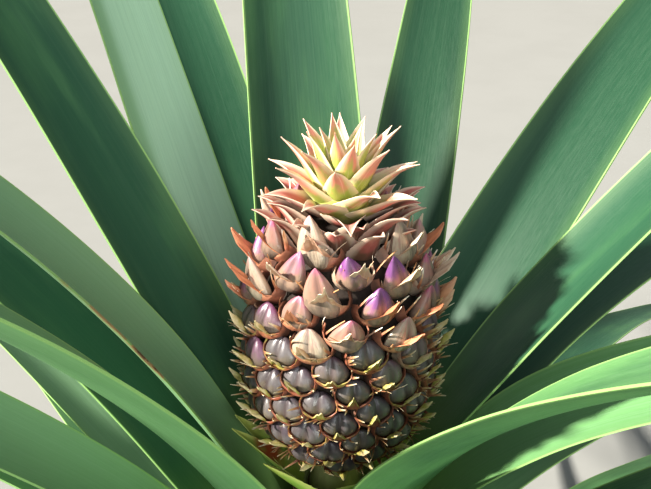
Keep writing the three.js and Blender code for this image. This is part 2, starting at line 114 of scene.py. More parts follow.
class Shader:
    """A material under construction, with the nodes that drive its surface."""

    def __init__(self, name: str, roughness: float, specular: float = 0.4) -> None:
        """Starts a material.

        Args:
            name: Name of the material.
            roughness: Roughness of the surface where nothing drives it.
            specular: Specular level of the surface.
        """
        self.material = bpy.data.materials.new(name)
        self.material.use_nodes = True
        self.tree = self.material.node_tree
        self.surface = self.tree.nodes["Principled BSDF"]
        self.surface.inputs["Roughness"].default_value = roughness
        self.surface.inputs["Specular IOR Level"].default_value = specular

    def _feed(self, socket: Socket, value: Value | Colour) -> None:
        """Links a socket or sets its value.

        Args:
            socket: Input that takes the value.
            value: Output to link, number or colour.
        """
        if isinstance(value, bpy.types.NodeSocket):
            self.tree.links.new(value, socket)
        elif isinstance(value, tuple):
            socket.default_value = (*value, 1.0) if len(socket.default_value) == 4 else value
        else:
            socket.default_value = value

    def _combine(self, kind: str, first: Value, second: Value = 0.0) -> Socket:
        """Works out a value from two others.

        Args:
            kind: Name of the sum, such as ADD.
            first: First value.
            second: Second value, where the sum has one.

        Returns:
            The result.
        """
        step = self.tree.nodes.new("ShaderNodeMath")
        step.operation = kind
        self._feed(step.inputs[0], first)
        self._feed(step.inputs[1], second)
        return step.outputs[0]

    def plus(self, first: Value, second: Value) -> Socket:
        """The sum of two values."""
        return self._combine("ADD", first, second)

    def times(self, first: Value, second: Value) -> Socket:
        """The product of two values."""
        return self._combine("MULTIPLY", first, second)

    def unsigned(self, value: Value) -> Socket:
        """A value without its sign."""
        return self._combine("ABSOLUTE", value)

    def attribute(self, name: str) -> list[Socket]:
        """Reads a vector attribute of the piece.

        Args:
            name: Name of the attribute.

        Returns:
            Its three components.
        """
        source = self.tree.nodes.new("ShaderNodeAttribute")
        source.attribute_name = name
        parts = self.tree.nodes.new("ShaderNodeSeparateXYZ")
        self.tree.links.new(source.outputs["Vector"], parts.inputs[0])
        return list(parts.outputs)

    def place(self, scale: tuple[float, float, float] = (1.0, 1.0, 1.0)) -> Socket:
        """Object coordinates, stretched.

        Args:
            scale: Factors along the three axes.

        Returns:
            The coordinates.
        """
        source = self.tree.nodes.new("ShaderNodeTexCoord")
        mapping = self.tree.nodes.new("ShaderNodeMapping")
        mapping.inputs["Scale"].default_value = scale
        self.tree.links.new(source.outputs["Object"], mapping.inputs["Vector"])
        return mapping.outputs["Vector"]

    def span(self, value: Socket, start: float, end: float, low: float = 0.0, high: float = 1.0) -> Socket:
        """Maps a value smoothly from one span to another, clamped at both ends.

        Args:
            value: The value.
            start: Where the result is low.
            end: Where the result is high.
            low: Result at the start.
            high: Result at the end.

        Returns:
            The mapped value.
        """
        mapped = self.tree.nodes.new("ShaderNodeMapRange")
        mapped.interpolation_type = "SMOOTHSTEP"
        self._feed(mapped.inputs["Value"], value)
        for name, number in (("From Min", start), ("From Max", end), ("To Min", low), ("To Max", high)):
            mapped.inputs[name].default_value = number
        return mapped.outputs["Result"]

    def noise(self, vector: Socket, scale: float, detail: float = 2.0, roughness: float = 0.5) -> Socket:
        """Cloudy noise from 0 to 1.

        Args:
            vector: Where the noise is read.
            scale: Its scale.
            detail: How many finer layers it has.
            roughness: How strong these are.

        Returns:
            The noise.
        """
        texture = self.tree.nodes.new("ShaderNodeTexNoise")
        self._feed(texture.inputs["Vector"], vector)
        for name, number in (("Scale", scale), ("Detail", detail), ("Roughness", roughness)):
            texture.inputs[name].default_value = number
        return texture.outputs["Fac"]

    def fibres(
        self,
        place: list[Socket],
        stretch: tuple[float, float],
        scale: float = 1.0,
        detail: float = 3.0,
        roughness: float = 0.6,
    ) -> Socket:
        """Noise drawn out along a leaf.

        Args:
            place: Place across, place along and a number of the leaf's own.
            stretch: Factors on the first two.
            scale: Scale of the noise.
            detail: How many finer layers it has.
            roughness: How strong these are.

        Returns:
            The noise, from 0 to 1.
        """
        across, along, seed = place
        combined = self.tree.nodes.new("ShaderNodeCombineXYZ")
        self._feed(combined.inputs[0], self.times(across, stretch[0]))
        self._feed(combined.inputs[1], self.times(along, stretch[1]))
        self._feed(combined.inputs[2], seed)
        return self.noise(combined.outputs[0], scale, detail, roughness)

    def mix(self, factor: Value, first: Paint, second: Paint) -> Socket:
        """Blends two colours.

        Args:
            factor: Share of the second colour, from 0 to 1.
            first: First colour.
            second: Second colour.

        Returns:
            The blend.
        """
        blend = self.tree.nodes.new("ShaderNodeMix")
        blend.data_type = "RGBA"
        for index, value in ((0, factor), (6, first), (7, second)):
            self._feed(blend.inputs[index], value)
        return blend.outputs[2]

    def coats(self, colour: Paint, *layers: tuple[Value, Paint]) -> Paint:
        """Lays colours over one another.

        Args:
            colour: The lowest colour.
            *layers: For each coat its cover, from 0 to 1, and its colour.

        Returns:
            The blend.
        """
        for cover, paint in layers:
            colour = self.mix(cover, colour, paint)
        return colour

    def finish(
        self,
        colour: Socket,
        height: Socket,
        depth: float,
        strength: float,
        roughness: Socket,
    ) -> Material:
        """Links what drives the surface.

        Args:
            colour: Base colour.
            height: Height of the relief.
            depth: Depth of the relief in metres.
            strength: Strength of the relief.
            roughness: Roughness.

        Returns:
            The finished material.
        """
        self._feed(self.surface.inputs["Base Color"], colour)
        self._feed(self.surface.inputs["Roughness"], roughness)
        bump = self.tree.nodes.new("ShaderNodeBump")
        bump.inputs["Strength"].default_value = strength
        bump.inputs["Distance"].default_value = depth
        self._feed(bump.inputs["Height"], height)
        self.tree.links.new(bump.outputs[0], self.surface.inputs["Normal"])
        return self.material


@dataclass(frozen=True)
class BladeFinish:
    """Waxy skin of one side of a long leaf, with veins along it.

    The piece carries two vectors: blade (across from -1 to 1, decimetres along, a number of its own) and look
    (share of its length, scar, tone). A low tone is deep and glossy, with painted shade at the lowest tones; a
    high one chalky, with powder at the highest that is partly bloom, partly painted sheen on all but one margin
    strip.
    """

    name: str
    deep: Colour
    fresh: Colour
    bloom: Colour
    margin: Colour
    base: Colour
    # Painted shade colour, taken by leaves with the lowest tones as if in a cast shadow.
    painted_shade: Colour
    bloom_share: float
    glow: float
    roughness: float = 0.46
    specular: float = 0.30
    vein_lanes: float = 24.0
    hair_lanes: float = 85.0
    drawn: float = 0.45
    relief: float = 0.0004
    relief_strength: float = 0.22
    # Pale chalk colour: partly bloom, partly painted sheen, laid on the highest-tone leaves.
    powder_and_sheen: Colour = (0.42, 0.62, 0.45)
    dry: Colour = (0.30, 0.19, 0.08)
    scar: Colour = (0.11, 0.055, 0.025)

    def build(self) -> Material:
        """Makes the material.

        Returns:
            The material.
        """
        shader = Shader(self.name, self.roughness, self.specular)
        place = shader.attribute("blade")
        share, scar, tone = shader.attribute("look")
        across, edge = place[0], shader.unsigned(place[0])
        veins = shader.fibres(place, (self.vein_lanes, self.drawn))
        hair = shader.fibres(place, (self.hair_lanes, self.drawn), 1.0, 1.0, 0.5)
        cloud = shader.fibres(place, (1.6, 1.0), 0.9, 3.0, 0.55)
        speck = shader.fibres(place, (self.vein_lanes, 9.0), 1.3, 3.0, 0.7)
        mood = shader.plus(shader.span(cloud, 0.3, 0.7, -0.16, 0.16), tone)
        chalk = shader.span(tone, 0.0, 1.5, 0.2, 2.2)
        dust = shader.times(shader.span(speck, 0.35, 0.75), shader.span(cloud, 0.25, 0.75, 0.5, 1.0))
        wound = shader.times(scar, shader.span(speck, 0.38, 0.55, 0.35, 1.0))
        # Powder for the highest tones, strong over most of the blade and faint on the strip by one margin:
        # partly bloom, partly painted sheen on the sunlit side, the faint strip left darker as painted shade.
        sheen_and_powder_cover = shader.span(tone, 1.6, 2.4, 0.0, 0.8)
        colour = shader.coats(
            self.deep,
            (shader.span(mood, 0.0, 1.0), self.fresh),
            # Painted shade: the lowest tones darken towards this colour, standing for shadow cast by other
            # leaves.
            (shader.span(tone, -0.1, -0.6, 0.0, 0.7), self.painted_shade),
            (shader.span(tone, 0.8, 1.6, 0.0, 0.55), self.bloom),
            (shader.times(sheen_and_powder_cover, shader.span(across, 0.7, 0.3, 0.1, 1.0)), self.powder_and_sheen),
            (shader.times(shader.span(veins, 0.42, 0.72, 0.0, 0.11), chalk), self.bloom),
            (shader.span(hair, 0.35, 0.65, 0.08, 0.0), self.deep),
            (shader.times(dust, shader.times(chalk, self.bloom_share)), self.bloom),
            (shader.span(share, 0.16, 0.0, 0.0, 0.75), self.base),
            (shader.span(edge, 0.62, 1.0, 0.0, self.glow), self.margin),
            (shader.span(edge, 0.955, 0.985), self.margin),
            (shader.span(share, 0.955, 0.99), self.dry),
            (shader.span(wound, 0.12, 0.35), self.dry),
            (shader.span(wound, 0.45, 0.7), self.scar),
        )
        height = shader.plus(veins, shader.times(hair, 0.5))
        gloss = shader.span(speck, 0.2, 0.8, self.roughness - 0.07, self.roughness + 0.12)
        return shader.finish(colour, height, self.relief, self.relief_strength, gloss)


@dataclass(frozen=True)
class LeafletFinish:
    """Skin of a crown leaflet or a small bract: one colour at its foot, others towards tip and margin.

    The piece carries the vectors of a long leaf, with blush in the place of scar.
    """

    name: str
    foot: Colour
    middle: Colour
    tip: Colour
    margin: Colour
    blush: Colour = (0.60, 0.085, 0.025)
    roughness: float = 0.5
    vein_lanes: float = 6.0
    drawn: float = 3.0
    relief: float = 0.0004
    relief_strength: float = 0.4

    def build(self) -> Material:
        """Makes the material.

        Returns:
            The material.
        """
        shader = Shader(self.name, self.roughness)
        place = shader.attribute("blade")
        share, blush, tone = shader.attribute("look")
        edge = shader.unsigned(place[0])
        veins = shader.fibres(place, (self.vein_lanes, self.drawn))
        cloud = shader.fibres(place, (1.0, 8.0), 1.4, 2.0, 0.5)
        climb = shader.plus(shader.plus(share, shader.span(cloud, 0.3, 0.7, -0.12, 0.12)), tone)
        colour = shader.coats(
            self.foot,
            (shader.span(climb, 0.18, 0.5), self.middle),
            (shader.span(climb, 0.6, 0.98), self.tip),
            (shader.span(veins, 0.5, 0.75, 0.0, 0.35), self.margin),
            (shader.span(edge, 0.55, 0.98, 0.0, 0.85), self.margin),
            (shader.times(blush, shader.span(cloud, 0.30, 0.55, 0.5, 1.0)), self.blush),
        )
        gloss = shader.span(cloud, 0.2, 0.8, self.roughness - 0.08, self.roughness + 0.1)
        return shader.finish(colour, veins, self.relief, self.relief_strength, gloss)


@dataclass(frozen=True)
class RampFinish:
    """Colours that run from a part's foot to its tip, one run for low fruitlets and one for high ones.

    The piece carries two vectors: grade (share of the part, ripeness, seed) and form (across, dent, tone).
    """

    name: str
    low: tuple[Colour, Colour, Colour, Colour]
    high: tuple[Colour, Colour, Colour, Colour]
    other: Colour
    dent: Colour
    stops: tuple[float, float, float]
    pale: Colour = (0.52, 0.43, 0.31)
    roughness: float = 0.5
    specular: float = 0.6
    blur: float = 0.14
    grain: float = 260.0
    vein_lanes: float = 7.0
    drawn: float = 2.5
    relief: float = 0.0003
    relief_strength: float = 0.4

    def _run(self, shader: Shader, share: Socket, colours: tuple[Colour, ...]) -> Paint:
        """Blends colours in turn along a part."""
        covers = [shader.span(share, stop - self.blur, stop + self.blur) for stop in self.stops]
        return shader.coats(colours[0], *zip(covers, colours[1:]))

    def build(self) -> Material:
        """Makes the material.

        Returns:
            The material.
        """
        shader = Shader(self.name, self.roughness, self.specular)
        share, ripe, seed = shader.attribute("grade")
        across, dent, tone = shader.attribute("form")
        cloud = shader.noise(shader.place(), self.grain, 3.0, 0.6)
        veins = shader.fibres([across, share, seed], (self.vein_lanes, self.drawn))
        climb = shader.plus(share, shader.span(cloud, 0.3, 0.7, -0.10, 0.10))
        climb = shader.plus(climb, shader.span(tone, 0.0, 1.0, -0.08, 0.08))
        late = shader.times(shader.span(climb, 0.45, 0.85), shader.span(tone, 0.50, 0.62))
        creamy = shader.times(shader.span(tone, 0.26, 0.14), shader.span(ripe, 0.1, 0.5, 0.12, 1.0))
        colour = shader.coats(
            self._run(shader, climb, self.low),
            (shader.span(ripe, 0.10, 0.80), self._run(shader, climb, self.high)),
            (shader.times(late, shader.span(ripe, 0.15, 0.7)), self.other),
            (shader.times(creamy, shader.span(veins, 0.35, 0.6, 0.15, 0.75)), self.pale),
            # Painted shade: darker down each pod's crease.
            (shader.times(dent, 0.75), self.dent),
            (shader.span(veins, 0.45, 0.75, 0.0, 0.42), self.dent),
        )
        gloss = shader.span(cloud, 0.25, 0.75, self.roughness - 0.08, self.roughness + 0.12)
        return shader.finish(colour, shader.plus(veins, cloud), self.relief, self.relief_strength, gloss)


@dataclass(frozen=True)
class GrainFinish:
    """A plain base colour with a soft grain in it, for the core of the fruit, stem, stalk and floor."""

    name: str
    colour: Colour
    shade: Colour
    roughness: float = 0.6
    grain: float = 350.0
    stretch: tuple[float, float, float] = (1.0, 1.0, 1.0)
    relief: float = 0.0004
    relief_strength: float = 0.5
    share: float = 0.55
    specular: float = 0.35

    def build(self) -> Material:
        """Makes the material.

        Returns:
            The material.
        """
        shader = Shader(self.name, self.roughness, self.specular)
        place = shader.place(self.stretch)
        fine = shader.noise(place, self.grain, 3.0, 0.6)
        broad = shader.noise(place, self.grain * 0.22)
        colour = shader.coats(
            self.colour,
            (shader.span(fine, 0.35, 0.7, 0.0, self.share), self.shade),
            (shader.span(broad, 0.4, 0.7, 0.0, self.share * 0.6), self.shade),
        )
        gloss = shader.span(fine, 0.25, 0.75, self.roughness - 0.1, self.roughness + 0.1)
        return shader.finish(colour, fine, self.relief, self.relief_strength, gloss)


def deselect() -> None:
    """Clears the selection, so that the next operator acts on its own primitive only."""
    bpy.ops.object.select_all(action="DESELECT")


def select_only(piece: Piece) -> None:
    """Selects one object and makes it active.

    Args:
        piece: The object.
    """
    deselect()
    piece.select_set(True)
    bpy.context.view_layer.objects.active = piece


def name_new(name: str) -> Piece:
    """Names the primitive that an operator has just made.

    Args:
        name: Name of the object and its mesh.

    Returns:
        The primitive.
    """
    piece = bpy.context.object
    piece.name = name
    piece.data.name = name
    return piece


def grid_sheet(name: str, across: int, along: int) -> Piece:
    """A flat grid with its upper side up, whose x and y run from -1 to 1.

    Args:
        name: Name of the object.
        across: Faces across.
        along: Faces along.

    Returns:
        The grid, selected and active.
    """
    deselect()
    bpy.ops.mesh.primitive_grid_add(x_subdivisions=across, y_subdivisions=along, size=2)
    return name_new(name)


def points_of(piece: Piece) -> np.ndarray:
    """Reads a piece's vertices.

    Args:
        piece: The object.

    Returns:
        Their places, one row each.
    """
    flat = np.empty(len(piece.data.vertices) * 3, np.float32)
    piece.data.vertices.foreach_get("co", flat)
    return flat.reshape(-1, 3).astype(float)


def set_points(piece: Piece, points: np.ndarray) -> None:
    """Moves a piece's vertices."""
    piece.data.vertices.foreach_set("co", points.astype(np.float32).ravel())
    piece.data.update()


def write_vector(piece: Piece, name: str, columns: tuple[np.ndarray | float, ...]) -> None:
    """Stores a vector attribute on a piece's vertices.

    Args:
        piece: The object.
        name: Name of the attribute.
        columns: Its three components, each an array or one number.
    """
    count = len(piece.data.vertices)
    values = np.stack([np.broadcast_to(np.asarray(part, float), count) for part in columns], axis=1)
    made = piece.data.attributes.new(name, "FLOAT_VECTOR", "POINT")
    made.data.foreach_set("vector", values.astype(np.float32).ravel())


def thicken(piece: Piece, thickness: np.ndarray, upper_share: float) -> None:
    """Turns a sheet into a closed blade, whose under side and margin take the second and third material.

    Args:
        piece: The sheet, with its upper side along its normals.
        thickness: Thickness at each vertex in metres.
        upper_share: Share of the thickness that lies above the sheet.
    """
    group = piece.vertex_groups.new(name="thickness")
    most = float(thickness.max())
    for index, value in enumerate(thickness):
        group.add([index], float(value) / most, "REPLACE")
    solid = piece.modifiers.new("Thickness", "SOLIDIFY")
    solid.thickness = most
    solid.offset = 2 * upper_share - 1
    solid.vertex_group = "thickness"
    solid.material_offset = 1
    solid.material_offset_rim = 2
    select_only(piece)
    bpy.ops.object.modifier_apply(modifier="Thickness")
    piece.vertex_groups.clear()


def dress(piece: Piece, materials: list[Material], degrees: float = 55.0) -> None:
    """Gives a piece its materials and shades it smooth.

    Args:
        piece: The piece.
        materials: Its materials, in the order of its slots.
        degrees: Angle from which an edge stays sharp.
    """
    piece.data.materials.clear()
    for material in materials:
        piece.data.materials.append(material)
    select_only(piece)
    bpy.ops.object.shade_smooth_by_angle(angle=math.radians(degrees))


def settle(piece: Piece, node: str) -> None:
    """Puts a finished piece on the plant.

    Args:
        piece: The piece.
        node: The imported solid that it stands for.
    """
    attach(piece, "root")
    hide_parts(node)


@dataclass(frozen=True)
class LeafShape:
    """A leaf's place and bend: angles in degrees, lean above level, arch and drift over the bend run, mm."""

    rank: int
    height: float
    length: float
    base_lean: float
    azimuth: float
    lean: float
    arch: float
    drift: float
    width: float
    cup: float
    roll: float
    clasp: float


KNOWN_LEAVES: dict[int, tuple[float, ...]] = {
    0: (-2, 58, 11, -1, 60, 29, 2, 28),
    1: (100, 75, 13, 2, 64, 28, -4, 60),
    2: (298, 59, 31, -4, 61, 28, 6, 40),
    3: (187.6, 68.3, 35.8, 5.2, 56.8, 27.4, 0.6, 20),
    4: (43, 50, 21, 1, 64, 28, 9, 47),
    5: (156.1, 64.9, 14.1, -1.8, 57.1, 30.1, -5.3, 60.9),
    6: (354, 14, 12, 0, 64, 31, 8, 125),
    7: (229.9, 67.9, 32.4, 0.5, 61.1, 27.9, -3.4, 43.9),
    8: (133.4, 62.8, 0.6, -0.1, 56.6, 29.7, 10.8, 41),
    9: (35, 12, 20, 5, 64, 29, 4, 135),
    10: (116, 70, 31, 2, 62, 29, -1, 66),
    11: (306, 50, 3, 2, 60, 28, 4, 38),
    12: (73, 52, 21, 3, 60, 29, 1, 70),
    13: (167.9, 67.4, 41.6, -1.9, 56, 29.3, -16.4, 20),
    14: (207, 44.5, 1.8, -1.9, 61, 28.4, -7, 113.7),
}
# Listed leaf tones: partly each leaf's own age and bloom, partly painted light and shade. The lowest tones
# darken a leaf as painted shadow cast by other leaves, the highest brighten it as painted sunlit sheen.
LEAF_TONES_AND_PAINTED_LIGHT: dict[int, float] = {
    0: 0.08, 1: 0.20, 2: 0.50, 3: 1.42, 4: -0.4, 5: 0.12, 6: 0.95, 7: 1.05, 8: 2.2,
    9: -0.1, 10: 0.0, 12: -0.6, 13: 0.0, 14: 1.5, 22: 1.7, 24: 0.1,
}
LEAF_SCARS: dict[int, tuple[float, float, float]] = {3: (120.0, 205.0, 1.0)}


@dataclass
class LeafPlan:
    """Where every leaf stands and how it bends, by the rule of the solids."""

    leaves: int = 48
    top_height: float = 335.0
    top_leaves: int = 12
    top_internode: float = 6.0
    low_internode: float = 5.2
    length: float = 760.0
    top_shrink: float = 1.0
    low_shrink: float = 0.2
    width: float = 60.0
    width_step: float = 0.3
    base_lean: float = 73.0
    base_lean_step: float = 0.6
    bend_run: float = 400.0
    open_lean: float = 46.0
    open_lean_step: float = 1.15
    front_azimuth: float = 265.0
    front_lean_drop: float = 12.0
    open_arch: float = 13.0
    arch_scatter: tuple[float, float] = (3, 5.1)
    drift_scatter: tuple[float, float] = (3, 2.3)
    roll_scatter: tuple[float, float] = (6, 3.7)
    cup: float = 28.0
    clasp: float = 60.0
    sector: float = 45.0
    sector_run: float = 350.0
    sector_margin: float = 2.0

    def _lean_under(self, younger: list[LeafShape], azimuth: float, arch: float, wished: float) -> float:
        """Keeps an older leaf under every younger one that it shares a sector with.

        Args:
            younger: The leaves above it.
            azimuth: Its azimuth.
            arch: Its arch.
            wished: The lean that it would have alone.

        Returns:
            Its lean.
        """
        lean = wished
        for leaf in younger:
            turn = abs(leaf.azimuth - azimuth) % 360
            gap = min(turn, 360 - turn)
            if gap < self.sector:
                shared = min(self.sector_run, self.width / math.radians(max(gap, 1)))
                bend = max(0.0, leaf.arch - arch) * shared / self.bend_run
                lean = min(lean, leaf.lean - bend - self.sector_margin)
        return lean

    def _free_shape(self, rank: int, older: int, younger: list[LeafShape]) -> tuple[float, ...]:
        """Works out a leaf that the photo doesn't show.

        Args:
            rank: Its rank, 0 for the youngest.
            older: How many ranks it lies under the top leaves.
            younger: The leaves above it.

        Returns:
            Azimuth, lean, arch, drift, width, cup, roll and clasp.
        """
        azimuth = math.degrees(rank * GOLDEN_ANGLE) % 360
        front = max(0.0, math.cos(math.radians(azimuth - self.front_azimuth)))
        wished = self.open_lean - self.open_lean_step * older - self.front_lean_drop * front
        scatters = (self.arch_scatter, self.drift_scatter, self.roll_scatter)
        arch, drift, roll = (size * math.sin(step * rank) for size, step in scatters)
        arch = self.open_arch + arch
        lean = self._lean_under(younger, azimuth, arch, wished)
        return azimuth, lean, arch, drift, self.width - self.width_step * older, self.cup, roll, self.clasp

    def shapes(self) -> list[LeafShape]:
        """Works out all the leaves.

        Returns:
            Their shapes, the youngest first.
        """
        found: list[LeafShape] = []
        for rank in range(self.leaves):
            older = max(0, rank - self.top_leaves)
            height = self.top_height - self.top_internode * min(rank, self.top_leaves)
            height -= self.low_internode * older
            shrink = self.top_shrink if rank < self.top_leaves else self.low_shrink
            length = self.length - shrink * (rank - self.top_leaves) ** 2
            base_lean = self.base_lean - self.base_lean_step * rank
            known = KNOWN_LEAVES.get(rank) or self._free_shape(rank, older, found)
            found.append(LeafShape(rank, height, length, base_lean, *known))
        return found


@dataclass
class LeafBlade:
    """One long leaf: a gutter that clasps the stem and opens to a shallow blade. Sizes are in millimetres."""

    shape: LeafShape
    columns: int = 22
    rings: int = 110
    ring_crowding: float = 1.12
    gap: float = 0.3
    base_share: float = 0.66
    base_run: float = 120.0
    taper: float = 2.2
    tip_width: float = 2.0
    path_steps: int = 120
    bend_run: float = 400.0
    clasp_power: float = 1.5
    opens_from: float = 15.0
    opens_over: float = 125.0
    roll_run: float = 200.0
    upper_share: float = 0.3
    solid_margin: float = 1.2
    base_thickness: float = 3.2
    base_until: float = 0.3
    blade_thickness: float = 2.6
    tip_from: float = 0.5
    tip_thickness: float = 1.1
    margin_thickness: float = 0.8
    margin_power: float = 0.8
    rest_height: float = 14.0
    rest_step: float = 1.6
    rest_run: float = 150.0
    leaves: int = 48
    tone: float = 0.5
    scars: tuple[float, float, float] | None = None
    scar_fade: float = 25.0
    scar_depth: float = 0.05
    ripple: float = 0.8
    ripple_from: float = 160.0
    ripple_over: float = 200.0
    ripple_lengths: tuple[float, float] = (41.0, 23.0)
    path: np.ndarray = field(init=False)

    def __post_init__(self) -> None:
        """Walks the spine from the stem outwards."""
        leaf = self.shape
        step = leaf.length / self.path_steps
        stem = stem_radius(leaf.height) + self.gap
        wrap = self.base_share * leaf.width / 4 / stem
        radius = stem / math.cos(wrap) + self.upper_share * self.solid_margin
        height = leaf.height
        rest = self.rest_height + self.rest_step * (self.leaves - leaf.rank)
        rows = []
        for index in range(self.path_steps + 1):
            along = index * step
            steep = math.exp(-((along / leaf.clasp) ** self.clasp_power))
            degrees = leaf.lean - leaf.arch * along / self.bend_run + (leaf.base_lean - leaf.lean) * steep
            lean = max(math.radians(degrees), math.atan((rest - height) / self.rest_run))
            azimuth = math.radians(leaf.azimuth + leaf.drift * along / self.bend_run)
            rows.append((along, radius, height, azimuth, lean))
            radius += math.cos(lean) * step
            height += math.sin(lean) * step
        self.path = np.array(rows)

    def _width(self, along: np.ndarray) -> np.ndarray:
        """Width of the blade.

        Args:
            along: Lengths along it.

        Returns:
            The width at each.
        """
        base = self.base_share + (1 - self.base_share) * smoothstep(along / self.base_run)
        taper = 1 - (along / self.shape.length) ** self.taper
        return np.maximum(self.tip_width, self.shape.width * base * taper)

    def _thickness(self, across: np.ndarray, share: np.ndarray) -> np.ndarray:
        """Thickness of the blade, which thins out to its tip and its margins.

        Args:
            across: From -1 at one margin to 1 at the other.
            share: Share of the length, from 0 to 1.

        Returns:
            The thickness at each place.
        """
        eased = smoothstep(share / self.base_until)
        middle = self.base_thickness + (self.blade_thickness - self.base_thickness) * eased
        late = smoothstep((share - self.tip_from) / (1 - self.tip_from))
        middle = middle + (self.tip_thickness - middle) * late
        return self.margin_thickness + (middle - self.margin_thickness) * (1 - across**2) ** self.margin_power

    def _ripple(self, across: np.ndarray, along: np.ndarray) -> np.ndarray:
        """How far the margins wave up and down.

        Args:
            across: From -1 at one margin to 1 at the other.
            along: Lengths along the blade.

        Returns:
            The lift at each place.
        """
        phase = self.shape.rank * 1.7
        long, short = (along / length for length in self.ripple_lengths)
        waves = np.sin(long + phase) + 0.6 * np.sin(short + 2.3 * phase + np.sign(across))
        eased = smoothstep((along - self.ripple_from) / self.ripple_over)
        return self.ripple * eased * np.abs(across) ** 3 * waves

    def _surface(self, across: np.ndarray, share: np.ndarray) -> np.ndarray:
        """Places of the skin between the two faces.

        Args:
            across: From -1 at one margin to 1 at the other.
            share: Share of the length, from 0 to 1.

        Returns:
            Places in millimetres, one row each.
        """
        leaf = self.shape
        along = share * leaf.length
        lengths, *walked = self.path.T
        radius, height, azimuth, lean = (np.interp(along, lengths, part) for part in walked)
        width = self._width(along)
        free = smoothstep((along - self.opens_from) / self.opens_over)[:, None]
        wrap = azimuth + across * width / 2 / radius
        zero = np.zeros_like(azimuth)
        clasped = np.stack([radius * np.cos(wrap), radius * np.sin(wrap), height], axis=1)
        outward = np.stack([np.cos(azimuth), np.sin(azimuth), zero], axis=1)
        sideways = np.stack([-np.sin(azimuth), np.cos(azimuth), zero], axis=1)
        upper = -np.sin(lean)[:, None] * outward + np.cos(lean)[:, None] * UP
        roll = np.radians(leaf.roll) * np.minimum(1, along / self.roll_run)
        side = np.cos(roll)[:, None] * sideways + np.sin(roll)[:, None] * upper
        face = np.cos(roll)[:, None] * upper - np.sin(roll)[:, None] * sideways
        cup = math.radians(leaf.cup)
        bend = (width / 2 / cup)[:, None]
        turn = (cup * across)[:, None]
        spine = outward * radius[:, None] + UP * height[:, None]
        opened = spine + bend * np.sin(turn) * side + bend * (1 - np.cos(turn)) * face
        return clasped + (opened - clasped) * free + face * self._ripple(across, along)[:, None]

    def _scar(self, across: np.ndarray, along: np.ndarray) -> np.ndarray:
        """How badly each place is scarred.

        Args:
            across: From -1 at one margin to 1 at the other.
            along: Lengths along the blade.

        Returns:
            From 0, sound, to 1.
        """
        if self.scars is None:
            return np.zeros_like(across)
        start, end, side = self.scars
        inside = smoothstep((along - start) / self.scar_fade) * smoothstep((end - along) / self.scar_fade)
        patchy = 0.55 + 0.45 * np.sin(along / 6.1) * np.sin(along / 14.7 + 1)
        return inside * patchy * smoothstep((across * side - 0.80) / 0.16)

    def build(self, materials: list[Material]) -> None:
        """Makes the leaf.

        Args:
            materials: Upper side, under side and margin.
        """
        number = f"{self.shape.rank + 1:02d}"
        sheet = grid_sheet(f"blade_{number}", self.columns, self.rings)
        flat = points_of(sheet)
        across = -np.sin(flat[:, 0] * math.pi / 2)
        share = ((flat[:, 1] + 1) / 2) ** self.ring_crowding
        along = share * self.shape.length
        scar = self._scar(across, along)
        torn = across * (1 - self.scar_depth * scar * (0.5 + 0.5 * np.sin(along / 3.3)))
        set_points(sheet, self._surface(torn, share) * MM)
        write_vector(sheet, "blade", (across, along / 100, self.shape.rank * 3.7))
        write_vector(sheet, "look", (share, scar, self.tone))
        thicken(sheet, self._thickness(across, share) * MM, self.upper_share)
        dress(sheet, materials)
        settle(sheet, f"leaf_{number}")


@dataclass
class Rosette:
    """All the long leaves; listed tones carry painted light and shade besides each leaf's own colour, the rest
    come from the scatter.
    """

    plan: LeafPlan = field(default_factory=LeafPlan)
    scattered_tone: tuple[float, float] = (0.2, 0.75)
    # In each finish below, the darkest colour is painted shade, taken by leaves with the lowest tones.
    upper: BladeFinish = BladeFinish(
        "leaf_upper",
        deep=(0.013, 0.062, 0.029),
        fresh=(0.110, 0.275, 0.088),
        bloom=(0.25, 0.40, 0.25),
        margin=(0.22, 0.38, 0.12),
        base=(0.24, 0.42, 0.08),
        painted_shade=(0.005, 0.028, 0.012),
        bloom_share=0.10,
        glow=0.10,
    )
    # Under side colours: the leaf's own pale bloom, raised further as painted light for the sky and ground
    # light on the under sides.
    under: BladeFinish = BladeFinish(
        "leaf_under",
        deep=(0.235, 0.395, 0.240),
        fresh=(0.350, 0.530, 0.320),
        bloom=(0.44, 0.56, 0.44),
        margin=(0.34, 0.50, 0.14),
        base=(0.30, 0.44, 0.12),
        painted_shade=(0.16, 0.28, 0.16),
        bloom_share=0.40,
        glow=0.22,
        roughness=0.56,
    )
    rim: BladeFinish = BladeFinish(
        "leaf_margin",
        deep=(0.16, 0.27, 0.09),
        fresh=(0.26, 0.40, 0.13),
        bloom=(0.46, 0.54, 0.28),
        margin=(0.26, 0.40, 0.13),
        base=(0.36, 0.46, 0.18),
        painted_shade=(0.12, 0.22, 0.07),
        bloom_share=0.15,
        glow=0.3,
    )

    def build(self) -> None:
        """Makes every leaf."""
        materials = [finish.build() for finish in (self.upper, self.under, self.rim)]
        for shape in self.plan.shapes():
            tone = LEAF_TONES_AND_PAINTED_LIGHT.get(shape.rank, wave(shape.rank, *self.scattered_tone))
            LeafBlade(shape, tone=tone, scars=LEAF_SCARS.get(shape.rank)).build(materials)
        LOG.info("rosette: %d leaves", self.plan.leaves)


@dataclass
class HeadFrame:
    """The leaning frame that the fruit and its crown share."""

    tilt: float = math.radians(0.6)
    stalk_top: float = 379.0
    stalk_radius: float = 12.5
    gap: float = 0.3

    def place(self, points: np.ndarray) -> np.ndarray:
        """Takes places from the fruit's own frame to the plant's.

        Args:
            points: Places in millimetres, with the last axis holding x, y and z.

        Returns:
            The same places in metres.
        """
        c, s = math.cos(self.tilt), math.sin(self.tilt)
        turn = np.array([[c, 0, s], [0, 1, 0], [-s, 0, c]])
        lift = self.stalk_top + self.stalk_radius * math.sin(self.tilt) + self.gap
        return (points @ turn.T + np.array([0, 0, lift])) * MM


